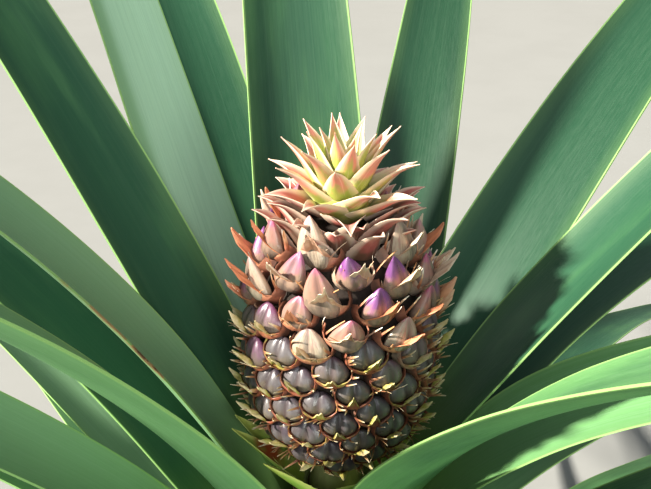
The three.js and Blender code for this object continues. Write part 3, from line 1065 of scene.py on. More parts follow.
class Patchwork:
    """Gathers many small closed parts, with their attributes and picture patches, into one piece."""

    MARGIN = 0.06
    FILLED = 0.88

    def __init__(self, cells: int) -> None:
        """Starts with no part.

        Args:
            cells: Number of rows, and of columns, of picture patches.
        """
        self.cells = cells
        self._points: list[np.ndarray] = []
        self._corners: list[np.ndarray] = []
        self._sizes: list[np.ndarray] = []
        self._maps: list[np.ndarray] = []
        self._grades: list[np.ndarray] = []
        self._forms: list[np.ndarray] = []
        self._count = 0
        self._filled = 0

    def add(self, pattern: "Pattern", points: np.ndarray, grade: np.ndarray, form: np.ndarray) -> None:
        """Adds copies of a part.

        Args:
            pattern: Its vertices and faces.
            points: Places in metres, copies by vertices by three.
            grade: Share of the part, ripeness and seed, of the same shape.
            form: Place across, dent and tone, of the same shape.
        """
        copies, size = points.shape[:2]
        starts = self._count + size * np.arange(copies)
        self._corners.append((pattern.corners[None] + starts[:, None]).reshape(-1))
        self._sizes.append(np.tile(pattern.sizes, copies))
        cell = self._filled + np.arange(copies)
        low = np.stack([cell % self.cells, cell // self.cells], axis=1)[:, None]
        spots = low + self.MARGIN + self.FILLED * pattern.places[None]
        self._maps.append((spots / self.cells).reshape(-1, 2))
        self._points.append(points.reshape(-1, 3))
        self._grades.append(grade.reshape(-1, 3))
        self._forms.append(form.reshape(-1, 3))
        self._count += copies * size
        self._filled += copies

    def build(self, name: str, material: Material) -> Piece:
        """Joins the parts.

        Args:
            name: Name of the piece.
            material: Its material.

        Returns:
            The piece.
        """
        points, corners, sizes = (np.concatenate(part) for part in (self._points, self._corners, self._sizes))
        mesh = bpy.data.meshes.new(name)
        mesh.vertices.add(len(points))
        mesh.vertices.foreach_set("co", points.astype(np.float32).ravel())
        mesh.loops.add(len(corners))
        mesh.loops.foreach_set("vertex_index", corners.astype(np.int32))
        mesh.polygons.add(len(sizes))
        starts = np.concatenate([[0], np.cumsum(sizes)[:-1]])
        mesh.polygons.foreach_set("loop_start", starts.astype(np.int32))
        mesh.update(calc_edges=True)
        picture = mesh.uv_layers.new(name="OFBake")
        picture.data.foreach_set("uv", np.concatenate(self._maps).astype(np.float32).ravel())
        piece = bpy.data.objects.new(name, mesh)
        bpy.context.collection.objects.link(piece)
        write_vector(piece, "grade", tuple(np.concatenate(self._grades).T))
        write_vector(piece, "form", tuple(np.concatenate(self._forms).T))
        dress(piece, [material], 60.0)
        return piece


@dataclass
class Pattern:
    """Faces of one closed part: all corners in a row, how many each face has, and their picture places."""

    corners: np.ndarray = field(init=False)
    sizes: np.ndarray = field(init=False)
    places: np.ndarray = field(init=False)

    def _store(self, faces: list[tuple[int, ...]], places: list[tuple[tuple[float, float], ...]]) -> None:
        """Keeps the faces in flat arrays.

        Args:
            faces: Corners of each face.
            places: Place of each corner in the picture patch, from 0 to 1.
        """
        self.sizes = np.array([len(face) for face in faces])
        self.corners = np.array([corner for face in faces for corner in face])
        self.places = np.array([place for face in places for place in face])


@dataclass
class SheetPattern(Pattern):
    """A two-sided sheet closed round its rim: places across (-1 to 1), along (0 to 1), side (1 above)."""

    columns: int
    rows: int
    side_share: float = 0.47
    rim_start: float = 0.49
    rim_end: float = 0.51
    across: np.ndarray = field(init=False)
    along: np.ndarray = field(init=False)
    above: np.ndarray = field(init=False)

    def __post_init__(self) -> None:
        """Lays out the vertices and faces."""
        wide, tall = self.columns + 1, self.rows + 1
        along, across = np.meshgrid(np.linspace(0, 1, tall), np.linspace(-1, 1, wide), indexing="ij")
        layer = wide * tall
        self.across = np.tile(across.ravel(), 2)
        self.along = np.tile(along.ravel(), 2)
        self.above = np.repeat([1.0, 0.0], layer)
        faces, places = [], []
        for row in range(self.rows):
            for column in range(self.columns):
                a = row * wide + column
                faces.append((a, a + 1, a + 1 + wide, a + wide))
                faces.append((layer + a, layer + a + wide, layer + a + 1 + wide, layer + a + 1))
        for face in faces:
            places.append(tuple(self._spot(corner % layer, corner >= layer) for corner in face))
        ring = [*range(wide), *range(2 * wide - 1, layer, wide), *range(layer - 2, layer - wide - 1, -1)]
        ring += list(range(layer - 2 * wide, 0, -wide))
        start, end = self.rim_start, self.rim_end
        for step, (first, second) in enumerate(zip(ring, ring[1:] + ring[:1])):
            faces.append((first, layer + first, layer + second, second))
            low, high = step / len(ring), (step + 1) / len(ring)
            places.append(((start, low), (end, low), (end, high), (start, high)))
        self._store(faces, places)

    def _spot(self, corner: int, below: bool) -> tuple[float, float]:
        """Finds a corner in the picture patch, which has the upper side left and the lower side right.

        Args:
            corner: Number of the corner in its own side.
            below: Whether it is on the lower side.

        Returns:
            Its place, from 0 to 1 both ways.
        """
        wide = self.columns + 1
        column, row = corner % wide, corner // wide
        start = 1 - self.side_share if below else 0.0
        return self.side_share * column / self.columns + start, row / self.rows


@dataclass
class PodPattern(Pattern):
    """A closed body of rings between two poles, finer in front: sine and cosine of its turn, and along."""

    front: int = 14
    back: int = 6
    rows: int = 11
    sine: np.ndarray = field(init=False)
    cosine: np.ndarray = field(init=False)
    along: np.ndarray = field(init=False)

    def __post_init__(self) -> None:
        """Lays out the vertices and faces."""
        ahead = np.arcsin(np.linspace(-1, 1, self.front + 1))
        turns = np.concatenate([ahead, np.pi / 2 + np.pi * np.arange(1, self.back) / self.back])
        sides = len(turns)
        levels = 0.5 - 0.5 * np.cos(np.pi * np.arange(1, self.rows) / self.rows)
        self.sine = np.concatenate([np.tile(np.sin(turns), len(levels)), [0.0, 0.0]])
        self.cosine = np.concatenate([np.tile(np.cos(turns), len(levels)), [1.0, 1.0]])
        self.along = np.concatenate([np.repeat(levels, sides), [0.0, 1.0]])
        foot, tip = sides * len(levels), sides * len(levels) + 1
        faces, places = [], []
        for side in range(sides):
            following = (side + 1) % sides
            left, right = side / sides, (side + 1) / sides
            faces.append((foot, following, side))
            places.append((((left + right) / 2, 0.0), (right, levels[0]), (left, levels[0])))
            for row in range(len(levels) - 1):
                a, b = row * sides + side, row * sides + following
                faces.append((a, b, b + sides, a + sides))
                low, high = levels[row], levels[row + 1]
                places.append(((left, low), (right, low), (right, high), (left, high)))
            last = (len(levels) - 1) * sides
            faces.append((last + side, last + following, tip))
            places.append(((left, levels[-1]), (right, levels[-1]), ((left + right) / 2, 1.0)))
        self._store(faces, places)


@dataclass
class Lattice:
    """Where the fruitlets sit on the body of the fruit."""

    height: float = 115.0
    most_radius: float = 43.0
    foot_radius: float = 24.0
    neck_radius: float = 19.0
    belly: float = 0.42
    foot_power: float = 2.4
    neck_power: float = 2.6
    eyes: int = 120
    samples: int = 400
    slope_step: float = 0.01
    shares: np.ndarray = field(init=False)
    azimuths: np.ndarray = field(init=False)

    def __post_init__(self) -> None:
        """Spaces the fruitlets evenly over the skin."""
        girth = self.radius((np.arange(self.samples) + 0.5) / self.samples)
        filled = np.concatenate([[0.0], np.cumsum(girth)])
        wanted = (np.arange(self.eyes) + 0.5) / self.eyes * filled[-1]
        self.shares = np.interp(wanted, filled, np.arange(self.samples + 1) / self.samples)
        self.azimuths = np.arange(self.eyes) * GOLDEN_ANGLE

    def radius(self, share: np.ndarray | float) -> np.ndarray:
        """Radius of the body.

        Args:
            share: Share of its height, from 0 to 1.

        Returns:
            The radius at each share.
        """
        share = np.asarray(share, float)
        low = np.clip((self.belly - share) / self.belly, 0, 1)
        high = np.clip((share - self.belly) / (1 - self.belly), 0, 1)
        rise = self.foot_radius + (self.most_radius - self.foot_radius) * (1 - low**self.foot_power)
        fall = self.most_radius - (self.most_radius - self.neck_radius) * high**self.neck_power
        return np.where(share < self.belly, rise, fall)

    def frames(self) -> tuple[np.ndarray, np.ndarray]:
        """Origin and axes of each fruitlet.

        Returns:
            The origins, and for each fruitlet its sideways, upward and outward direction as rows.
        """
        radius = self.radius(self.shares)
        below = self.radius(np.maximum(self.shares - self.slope_step, 0))
        above = self.radius(np.minimum(self.shares + self.slope_step, 1))
        slope = np.arctan2(below - above, 2 * self.slope_step * self.height)
        zero = np.zeros_like(radius)
        level = np.stack([np.cos(self.azimuths), np.sin(self.azimuths), zero], axis=1)
        side = np.stack([-np.sin(self.azimuths), np.cos(self.azimuths), zero], axis=1)
        out = level * np.cos(slope)[:, None] + UP * np.sin(slope)[:, None]
        climb = UP * np.cos(slope)[:, None] - level * np.sin(slope)[:, None]
        origin = level * radius[:, None] + UP * (self.shares * self.height)[:, None]
        return origin, np.stack([side, climb, out], axis=1)


@dataclass
class Fruit:
    """The young fruit: a nearly black core, painted shade seen between the fruitlets, and on each eye a pod
    with two shoulders, a bract round it and wisps.

    Each shape is worked out for all eyes at once, as fruitlets by vertices, in millimetres from the eye:
    sideways (x), up (y) and out (z). Ripe runs from 0, a low pod, to 1, a long bud of the top rows.
    """

    lattice: Lattice = field(default_factory=Lattice)
    head: HeadFrame = field(default_factory=HeadFrame)
    core_depth: float = 2.5
    core_sides: int = 72
    core_cuts: int = 6
    pod_width: float = 8.7
    pod_depth: float = 4.7
    pod_foot: float = -6.4
    pod_length: float = 13.2
    pod_skew: float = 0.92
    crease: float = 1.6
    crease_width: float = 1.35
    bud_width: float = 8.6
    bud_depth: float = 6.8
    bud_length: float = 21.5
    bud_ridges: int = 3
    bract_width: float = 9.2
    bract_height: float = 7.4
    bract_reach: float = math.radians(118)
    wall_share: float = 0.42
    tongue: float = 11.8
    tongue_half: float = math.radians(18)
    long_tongue: float = 18.0
    long_tongue_half: float = math.radians(62)
    narrowing: float = 0.52
    hook: float = 2.6
    long_hook: float = 3.2
    sheet: float = 0.42
    tip_sheet: float = 0.45
    wisps: int = 6
    wisp_turn: float = 1.9
    wisp_length: tuple[float, float] = (3.5, 9.0)
    wisp_half: tuple[float, float] = (0.35, 0.75)
    wisp_sheet: float = 0.22
    buds_from: float = 0.46
    buds_over: float = 0.40
    cells: int = 11
    wisp_cells: int = 27
    # Nearly black: painted shade deep between the fruitlets.
    dark: GrainFinish = GrainFinish("fruit_dark", (0.030, 0.018, 0.012), (0.010, 0.008, 0.006), 0.85)
    pod: RampFinish = RampFinish(
        "fruit_pod",
        low=((0.079, 0.052, 0.034), (0.118, 0.096, 0.076), (0.098, 0.086, 0.089), (0.052, 0.037, 0.049)),
        high=((0.128, 0.094, 0.072), (0.257, 0.169, 0.121), (0.339, 0.169, 0.132), (0.422, 0.098, 0.181)),
        other=(0.187, 0.051, 0.204),
        dent=(0.045, 0.028, 0.029),
        stops=(0.24, 0.52, 0.84),
        roughness=0.34,
    )
    bract: RampFinish = RampFinish(
        "fruit_bract",
        low=((0.041, 0.018, 0.011), (0.206, 0.051, 0.024), (0.343, 0.316, 0.058), (0.576, 0.480, 0.247)),
        high=((0.132, 0.053, 0.035), (0.352, 0.132, 0.075), (0.510, 0.282, 0.176), (0.739, 0.598, 0.440)),
        other=(0.58, 0.20, 0.09),
        dent=(0.28, 0.10, 0.05),
        stops=(0.26, 0.62, 0.88),
        roughness=0.55,
        relief=0.0005,
    )
    wisp: RampFinish = RampFinish(
        "fruit_wisp",
        low=((0.162, 0.047, 0.022), (0.262, 0.100, 0.037), (0.399, 0.237, 0.100), (0.537, 0.462, 0.312)),
        high=((0.36, 0.11, 0.055), (0.54, 0.22, 0.10), (0.76, 0.50, 0.30), (0.90, 0.82, 0.68)),
        other=(0.62, 0.28, 0.10),
        dent=(0.4, 0.2, 0.1),
        stops=(0.25, 0.5, 0.8),
        roughness=0.6,
    )

    def _to_plant(self, *local: np.ndarray) -> np.ndarray:
        """Takes places from the fruitlets' frames to the plant's."""
        origin, axes = self.lattice.frames()
        return self.head.place(origin[:, None] + np.einsum("evk,ekc->evc", self._vectors(*local), axes))

    def _scatter(self, number: float, low: float, high: float) -> np.ndarray:
        """A steady scatter, one value for each fruitlet in a column."""
        return np.array([[wave(eye * number + number, low, high)] for eye in range(self.lattice.eyes)])

    def _ripeness(self) -> np.ndarray:
        """How far each fruitlet is still a long bud."""
        scatter = self._scatter(1.7, -0.08, 0.08)
        return smoothstep((self.lattice.shares[:, None] + scatter - self.buds_from) / self.buds_over)

    def _size(self) -> np.ndarray:
        """Size of each fruitlet, against the mean."""
        return self._scatter(3.1, 0.93, 1.07)

    def _vectors(self, *columns: np.ndarray) -> np.ndarray:
        """Joins three arrays as the last axis of one."""
        return np.stack(np.broadcast_arrays(*columns), axis=-1)

    def _pod_swell(self, along: np.ndarray) -> np.ndarray:
        """How far a low pod swells."""
        return np.sin(np.pi * along**self.pod_skew) ** 0.6

    def _dome(self, x: np.ndarray, y: np.ndarray, size: np.ndarray) -> np.ndarray:
        """Height of a low pod's front over the skin.

        Args:
            x: Places sideways.
            y: Places up.
            size: Size of the fruitlet.

        Returns:
            The height at each place.
        """
        along = np.clip((y / size - self.pod_foot) / self.pod_length, 0.0, 1.0)
        swell = self._pod_swell(along)
        across = np.clip(np.abs(x) / np.maximum(self.pod_width * size * swell, 0.1), 0, 1)
        return self.pod_depth * size * swell * (1 - across**2.6) ** 0.55

    def _core(self) -> Piece:
        """Makes the body behind the fruitlets, nearly black as painted shade in the gaps between them.

        Returns:
            The piece.
        """
        deselect()
        bpy.ops.mesh.primitive_cylinder_add(
            vertices=self.core_sides, radius=1, depth=1, end_fill_type="TRIFAN"
        )
        core = name_new("fruit_core")
        bpy.ops.object.mode_set(mode="EDIT")
        bpy.ops.mesh.select_all(action="SELECT")
        bpy.ops.mesh.bisect(plane_co=(0, 0, 0), plane_no=(0, 0, 1))
        bpy.ops.mesh.select_all(action="SELECT")
        bpy.ops.mesh.subdivide(number_cuts=self.core_cuts)
        bpy.ops.object.mode_set(mode="OBJECT")
        flat = points_of(core)
        share = np.clip(flat[:, 2] + 0.5, 0, 1)
        radius = self.lattice.radius(share) - self.core_depth
        points = np.stack([flat[:, 0] * radius, flat[:, 1] * radius, share * self.lattice.height], axis=1)
        set_points(core, self.head.place(points))
        dress(core, [self.dark.build()])
        return core

    def _pods(self) -> Patchwork:
        """Shapes every pod: low ones broad with a crease, high ones long pointed buds.

        Returns:
            The pods.
        """
        pattern = PodPattern()
        ripe, size = self._ripeness(), self._size()
        low = 1 - ripe
        sine, cosine, along = pattern.sine[None], pattern.cosine[None], pattern.along[None]
        low_swell = self._pod_swell(along)
        high_swell = (1 - along**1.9) ** 0.85 * (0.62 + 0.38 * smoothstep(along / 0.30))
        high_swell = high_swell * smoothstep(along / 0.04) ** 0.5
        width = (self.pod_width * low_swell * low + self.bud_width * high_swell * ripe) * size
        depth = (self.pod_depth * low_swell * low + self.bud_depth * high_swell * ripe) * size
        lean, nod = self._scatter(6.1, -0.32, 0.32) * ripe, self._scatter(2.9, -0.10, 0.10) * ripe
        reach = self.pod_length * low + self.bud_length * ripe * self._scatter(8.8, 0.82, 1.12)
        rise, out = 1 - 0.22 * ripe + nod, 0.58 * ripe - nod
        turn = np.arctan2(sine, cosine)
        ridge = 1 + 0.10 * ripe * np.cos(self.bud_ridges * turn + self._scatter(4.2, 0, PHASE_SPAN))
        front_bulge = depth * (1 - np.abs(sine) ** (2.6 - 0.6 * ripe)) ** 0.55
        bulge = np.where(cosine > 0, front_bulge, depth * 0.7 * cosine)
        dent = np.exp(-((sine * width / self.crease_width) ** 2)) * np.maximum(cosine, 0.0)
        dent = dent * np.sin(np.pi * along) ** 0.5
        groove = self.crease * (0.35 + 0.65 * smoothstep((along - 0.25) / 0.4)) * (1 - 0.55 * ripe)
        shoulder = 0.7 * low * smoothstep((along - 0.55) / 0.45) * np.abs(sine) ** 0.7
        bulge = (bulge - groove * dent) * ridge
        x = width * sine * ridge + lean * reach * along
        y = self.pod_foot * size + rise * reach * size * along - bulge * 0.55 * ripe + shoulder
        z = -0.6 + 0.9 * ripe + out * reach * along + bulge * (1 - 0.2 * ripe)
        patchwork = Patchwork(self.cells)
        grade = self._vectors(along, ripe, self._scatter(5.3, 0, 1) * 9)
        form = self._vectors(sine, dent, self._scatter(8.3, 0, 1))
        patchwork.add(pattern, self._to_plant(x, y, z), grade, form)
        return patchwork

    def _bracts(self) -> Patchwork:
        """Shapes the bract of every fruitlet: a low wall round its foot with a tongue in front of the pod.

        Returns:
            The bracts.
        """
        pattern = SheetPattern(20, 12)
        ripe, size = self._ripeness(), self._size()
        tall, skew = self._scatter(2.3, 0.75, 1.2), self._scatter(4.7, -0.22, 0.22)
        u, v, above = pattern.across[None], pattern.along[None], pattern.above[None]
        turn = self.bract_reach * (0.36 * u + 0.64 * u**3)
        wall = np.clip(v / self.wall_share, 0, 1)
        past = np.clip((v - self.wall_share) / (1 - self.wall_share), 0, 1)
        flat = np.exp(-(((turn - skew * 0.5) / self.tongue_half) ** 4))
        peak = np.clip(1 - np.abs(turn - skew * 0.3) / self.long_tongue_half, 0, 1) ** 0.9
        ragged = 1 + 0.16 * np.sin(turn * 13 + self._scatter(9.1, 0, PHASE_SPAN)) * (1 - 0.4 * ripe)
        length = 0.35 + (self.tongue * flat * (1 - ripe) + self.long_tongue * peak * ripe) * tall * ragged
        ring = (1.04 - 0.05 * wall) * size
        rim = 0.6 + 2.3 * np.cos(turn * 0.7) + 1.2 * ripe
        narrow = 1 - self.narrowing * past**1.4 * np.maximum(flat, peak)
        x = self.bract_width * ring * np.sin(turn) * narrow + skew * length * past
        y = 0.6 - self.bract_height * ring * np.cos(turn) + length * past * (0.86 - 0.16 * past - 0.12 * ripe)
        z = -2.6 + (2.6 + rim) * wall + length * past * (0.22 + 0.40 * ripe)
        hook = (self.hook + self.long_hook * ripe) * smoothstep((past - 0.45) / 0.55)
        z = z + hook * np.clip(length / 8, 0, 1.2)
        cover = (self._dome(x, y, size) + 0.15) * (1 - ripe) + z * ripe
        z = np.where(past > 0, np.maximum(z, cover), z)
        side = np.where(above > 0.5, 1.0, -1.0) * self.sheet * (1 - self.tip_sheet * past)
        x = x + side * 0.7 * np.sin(turn)
        y = y - side * 0.7 * np.cos(turn)
        z = z + side * 0.7 * past
        patchwork = Patchwork(self.cells)
        tip = 0.45 + 0.55 * past * np.clip(length / 5.0, 0.12, 1)
        reach = np.where(past > 0, tip, 0.42 * wall)
        grade = self._vectors(reach, ripe, self._scatter(7.7, 0, 1) * 9)
        form = self._vectors(u, 0.0 * u, self._scatter(7.9, 0, 1))
        patchwork.add(pattern, self._to_plant(x, y, z), grade, form)
        return patchwork

    def _wisps(self) -> Patchwork:
        """Shapes the dry slivers that stand out round every fruitlet.

        Returns:
            The slivers.
        """
        pattern = SheetPattern(2, 6)
        ripe = self._ripeness()
        u, v, above = pattern.across[None], pattern.along[None], pattern.above[None]
        ring_width, ring_height = self.bract_width * 0.98, self.bract_height * 0.98
        patchwork = Patchwork(self.wisp_cells)
        for wisp in range(self.wisps):
            mark = wisp * 1.37 + 0.61
            turn = self._scatter(mark + 2.2, -self.wisp_turn, self.wisp_turn)
            length = self._scatter(mark + 3.1, *self.wisp_length) * (1 + 0.6 * ripe)
            lean = self._scatter(mark + 5.3, -0.5, 0.5)
            curl = self._scatter(mark + 6.7, -1.5, 2.5)
            half = self._scatter(mark + 7.1, *self.wisp_half) * (1 - v) ** 0.8 + 0.05
            x = ring_width * np.sin(turn) + half * u * np.cos(turn) + (lean + curl * 0.2 * v) * length * v
            y = 0.6 - ring_height * np.cos(turn) + half * u * np.sin(turn)
            y = y + length * v * (0.35 + 0.35 * ripe) - self.wisp_sheet * above
            z = 1.2 + 1.6 * np.cos(turn * 0.7) + length * v * (0.85 - 0.35 * v * curl * 0.4)
            z = z + self.wisp_sheet * above
            grade = self._vectors(v, ripe, self._scatter(mark, 0, 9))
            form = self._vectors(u, 0.0 * u, self._scatter(mark + 8.3, 0, 1))
            patchwork.add(pattern, self._to_plant(x, y, z), grade, form)
        return patchwork

    def build(self) -> None:
        """Makes the fruit's four pieces."""
        pieces = [
            self._core(),
            self._pods().build("fruit_pods", self.pod.build()),
            self._bracts().build("fruit_bracts", self.bract.build()),
            self._wisps().build("fruit_wisps", self.wisp.build()),
        ]
        for piece in pieces:
            settle(piece, NodeName.FRUIT.value)
        LOG.info("fruit: %d eyes", self.lattice.eyes)


@dataclass(frozen=True)
class SmallBlade:
    """A small pointed blade: where it starts, how it climbs and opens, in millimetres and degrees."""

    name: str
    azimuth: float
    radius: float
    height: float
    length: float
    width: float
    lean_low: float
    lean_tip: float
    thickness: float
    number: int
    tone: float = 0.0
    teeth: float = 0.0
    teeth_along: int = 17
    twist: float = 0.0
    cup: float = 0.35
    point: float = 0.9
    recurve: float = 0.0
    recurve_from: float = 0.45
    blush: float = 0.0
    columns: int = 12
    rows: int = 26
    path_steps: int = 200

    def _half_width(self, across: np.ndarray, share: np.ndarray) -> np.ndarray:
        """Half the width of the blade, with the teeth of its margin.

        Args:
            across: From -1 at one margin to 1 at the other.
            share: Share of the length, from 0 to 1.

        Returns:
            The half width at each place.
        """
        half = self.width / 2 * np.maximum(0.02, (1 - share) ** self.point * (1 + 0.55 * share))
        saw = np.abs(((share * self.teeth_along) % 1) - 0.3) * smoothstep((0.95 - share) / 0.2)
        return half * (1 + self.teeth * saw * smoothstep((np.abs(across) - 0.8) / 0.2))

    def _surface(self, across: np.ndarray, share: np.ndarray, lift: float) -> np.ndarray:
        """Places of the blade's skin.

        Args:
            across: From -1 at one margin to 1 at the other.
            share: Share of the length, from 0 to 1.
            lift: Height of the blade's own level.

        Returns:
            Places in millimetres, one row each.
        """
        steps = np.linspace(0, 1, self.path_steps)
        bent = self.recurve * smoothstep((steps - self.recurve_from) / (1 - self.recurve_from))
        lean = np.radians(self.lean_low + (self.lean_tip - self.lean_low) * steps - bent)
        run = np.cumsum(np.cos(lean)) * self.length / self.path_steps
        climb = np.cumsum(np.sin(lean)) * self.length / self.path_steps
        here = np.interp(share, steps, lean)
        reach = self.radius + np.interp(share, steps, run)
        level = self.height + lift + np.interp(share, steps, climb)
        half = self._half_width(across, share)
        rise = half * self.cup * across**2 + self.twist * across * half * share
        out = np.array([math.cos(self.azimuth), math.sin(self.azimuth), 0.0])
        side = np.array([-math.sin(self.azimuth), math.cos(self.azimuth), 0.0])
        points = reach[:, None] * out + level[:, None] * UP + (across * half)[:, None] * side
        return points + rise[:, None] * (-np.sin(here)[:, None] * out + np.cos(here)[:, None] * UP)

    def build(self, materials: list[Material], head: HeadFrame | None, lift: float) -> Piece:
        """Makes the blade.

        Args:
            materials: Upper side, under side and margin.
            head: The frame of the fruit, if the blade sits on it.
            lift: Height of the blade's own level in that frame.

        Returns:
            The finished sheet, dressed but not yet on the plant.
        """
        sheet = grid_sheet(self.name, self.columns, self.rows)
        flat = points_of(sheet)
        across, share = -flat[:, 0], (flat[:, 1] + 1) / 2
        points = self._surface(across, share, lift)
        set_points(sheet, head.place(points) if head else points * MM)
        write_vector(sheet, "blade", (across, share * self.length / 100, self.number * 2.9))
        ruddy = self.blush * smoothstep((share - 0.25) / 0.15) * smoothstep((0.75 - share) / 0.15)
        write_vector(sheet, "look", (share, ruddy * smoothstep((0.5 - across) / 0.5), self.tone))
        thickness = self.thickness * (1 - 0.6 * share) * (0.35 + 0.65 * (1 - across**2))
        thicken(sheet, thickness * MM, 0.5)
        dress(sheet, materials)
        return sheet


@dataclass
class Crown:
    """The small rosette on the fruit, over a short core, and the collar of dusky leaflets under it."""

    head: HeadFrame = field(default_factory=HeadFrame)
    fruit: Lattice = field(default_factory=Lattice)
    gap: float = 0.7
    leaflets: int = 32
    dusky_leaflets: int = 5
    core_radius: float = 15.0
    core_height: float = 26.0
    core_share: float = 0.86
    leaflet_length: float = 36.0
    leaflet_width: float = 21.0
    thickness: float = 1.3
    collar: int = 24
    collar_drop: float = 11.5
    collar_length: float = 23.0
    collar_width: float = 17.0
    upper: LeafletFinish = LeafletFinish(
        "crown_upper", (0.36, 0.43, 0.085), (0.72, 0.26, 0.19), (0.84, 0.47, 0.40), (0.88, 0.74, 0.52)
    )
    under: LeafletFinish = LeafletFinish(
        "crown_under", (0.36, 0.34, 0.10), (0.50, 0.19, 0.14), (0.70, 0.36, 0.28), (0.84, 0.64, 0.44)
    )
    rim: LeafletFinish = LeafletFinish(
        "crown_margin", (0.74, 0.66, 0.34), (0.88, 0.66, 0.46), (0.94, 0.84, 0.70), (0.92, 0.82, 0.62)
    )
    dusky_upper: LeafletFinish = LeafletFinish(
        "collar_upper",
        (0.136, 0.068, 0.043),
        (0.391, 0.102, 0.085),
        (0.595, 0.272, 0.212),
        (0.748, 0.595, 0.459),
    )
    dusky_under: LeafletFinish = LeafletFinish(
        "collar_under",
        (0.085, 0.047, 0.034),
        (0.221, 0.068, 0.055),
        (0.408, 0.145, 0.119),
        (0.663, 0.425, 0.306),
    )
    heart: GrainFinish = GrainFinish("crown_heart", (0.36, 0.38, 0.10), (0.22, 0.20, 0.06), 0.6)

    def _core(self) -> Piece:
        """Makes the short core that the leaflets stand on.

        Returns:
            The piece.
        """
        deselect()
        bpy.ops.mesh.primitive_uv_sphere_add(segments=40, ring_count=24, radius=1)
        core = name_new("crown_core")
        flat = points_of(core)
        share = (flat[:, 2] + 1) / 2
        radius = self.core_radius * self.core_share
        points = flat * np.array([radius, radius, 1.0])
        points[:, 2] = self.fruit.height + self.gap + share * self.core_height
        set_points(core, self.head.place(points))
        dress(core, [self.heart.build()])
        return core

    def _leaflet(self, number: int) -> SmallBlade:
        """Lays out a leaflet of the rosette.

        Args:
            number: Its number, 0 for the lowest.

        Returns:
            The leaflet.
        """
        share = number / (self.leaflets - 1)
        fullness = 0.7 + 0.3 * math.sin(math.pi * share)
        return SmallBlade(
            name=f"crown_leaflet_{number + 1:02d}",
            azimuth=number * GOLDEN_ANGLE,
            radius=self.core_radius * (0.75 - 0.5 * share),
            height=2 + self.core_height * 0.7 * share,
            length=self.leaflet_length * fullness * wave(number + 0.7, 0.92, 1.05),
            width=self.leaflet_width * (1 - 0.28 * share),
            lean_low=24 + 52 * share,
            lean_tip=24 + 66 * share + wave(number, -6, 10),
            thickness=self.thickness,
            number=number,
            tone=0.12 - 0.60 * share + wave(number + 0.5, -0.10, 0.10),
            teeth=0.06,
            twist=wave(number + 0.2, -0.25, 0.25),
            cup=0.55,
            point=1.15,
            recurve=34 * (1 - 0.6 * share),
        )

    def _collar_leaflet(self, number: int) -> SmallBlade:
        """Lays out a leaflet of the collar.

        Args:
            number: Its number, 0 for the lowest.

        Returns:
            The leaflet.
        """
        share = number / (self.collar - 1)
        return SmallBlade(
            name=f"collar_leaflet_{number + 1:02d}",
            azimuth=(number + 0.4) * GOLDEN_ANGLE,
            radius=float(self.fruit.radius(0.90 + 0.10 * share)) - 3,
            height=-self.collar_drop + self.collar_drop * share,
            length=self.collar_length + wave(number + 0.3, -3, 4),
            width=self.collar_width,
            lean_low=72 - 18 * share,
            lean_tip=48 - 14 * share,
            thickness=self.thickness,
            number=number + 50,
            tone=wave(number + 0.8, -0.32, 0.26),
            teeth=0.1,
            twist=wave(number + 0.6, -0.3, 0.3),
            cup=0.5,
            point=1.0,
            recurve=20,
        )

    def build(self) -> None:
        """Makes the core and every leaflet."""
        rosette = [finish.build() for finish in (self.upper, self.under, self.rim)]
        neck = [self.dusky_upper.build(), self.dusky_under.build(), rosette[2]]
        settle(self._core(), NodeName.CROWN.value)
        looks = [neck] * self.dusky_leaflets + [rosette] * (self.leaflets - self.dusky_leaflets)
        wanted = [(self._leaflet(number), look) for number, look in enumerate(looks)]
        wanted += [(self._collar_leaflet(number), neck) for number in range(self.collar)]
        for blade, materials in wanted:
            piece = blade.build(materials, self.head, self.fruit.height + self.gap)
            settle(piece, NodeName.CROWN.value)
        LOG.info("crown: %d leaflets", len(wanted))


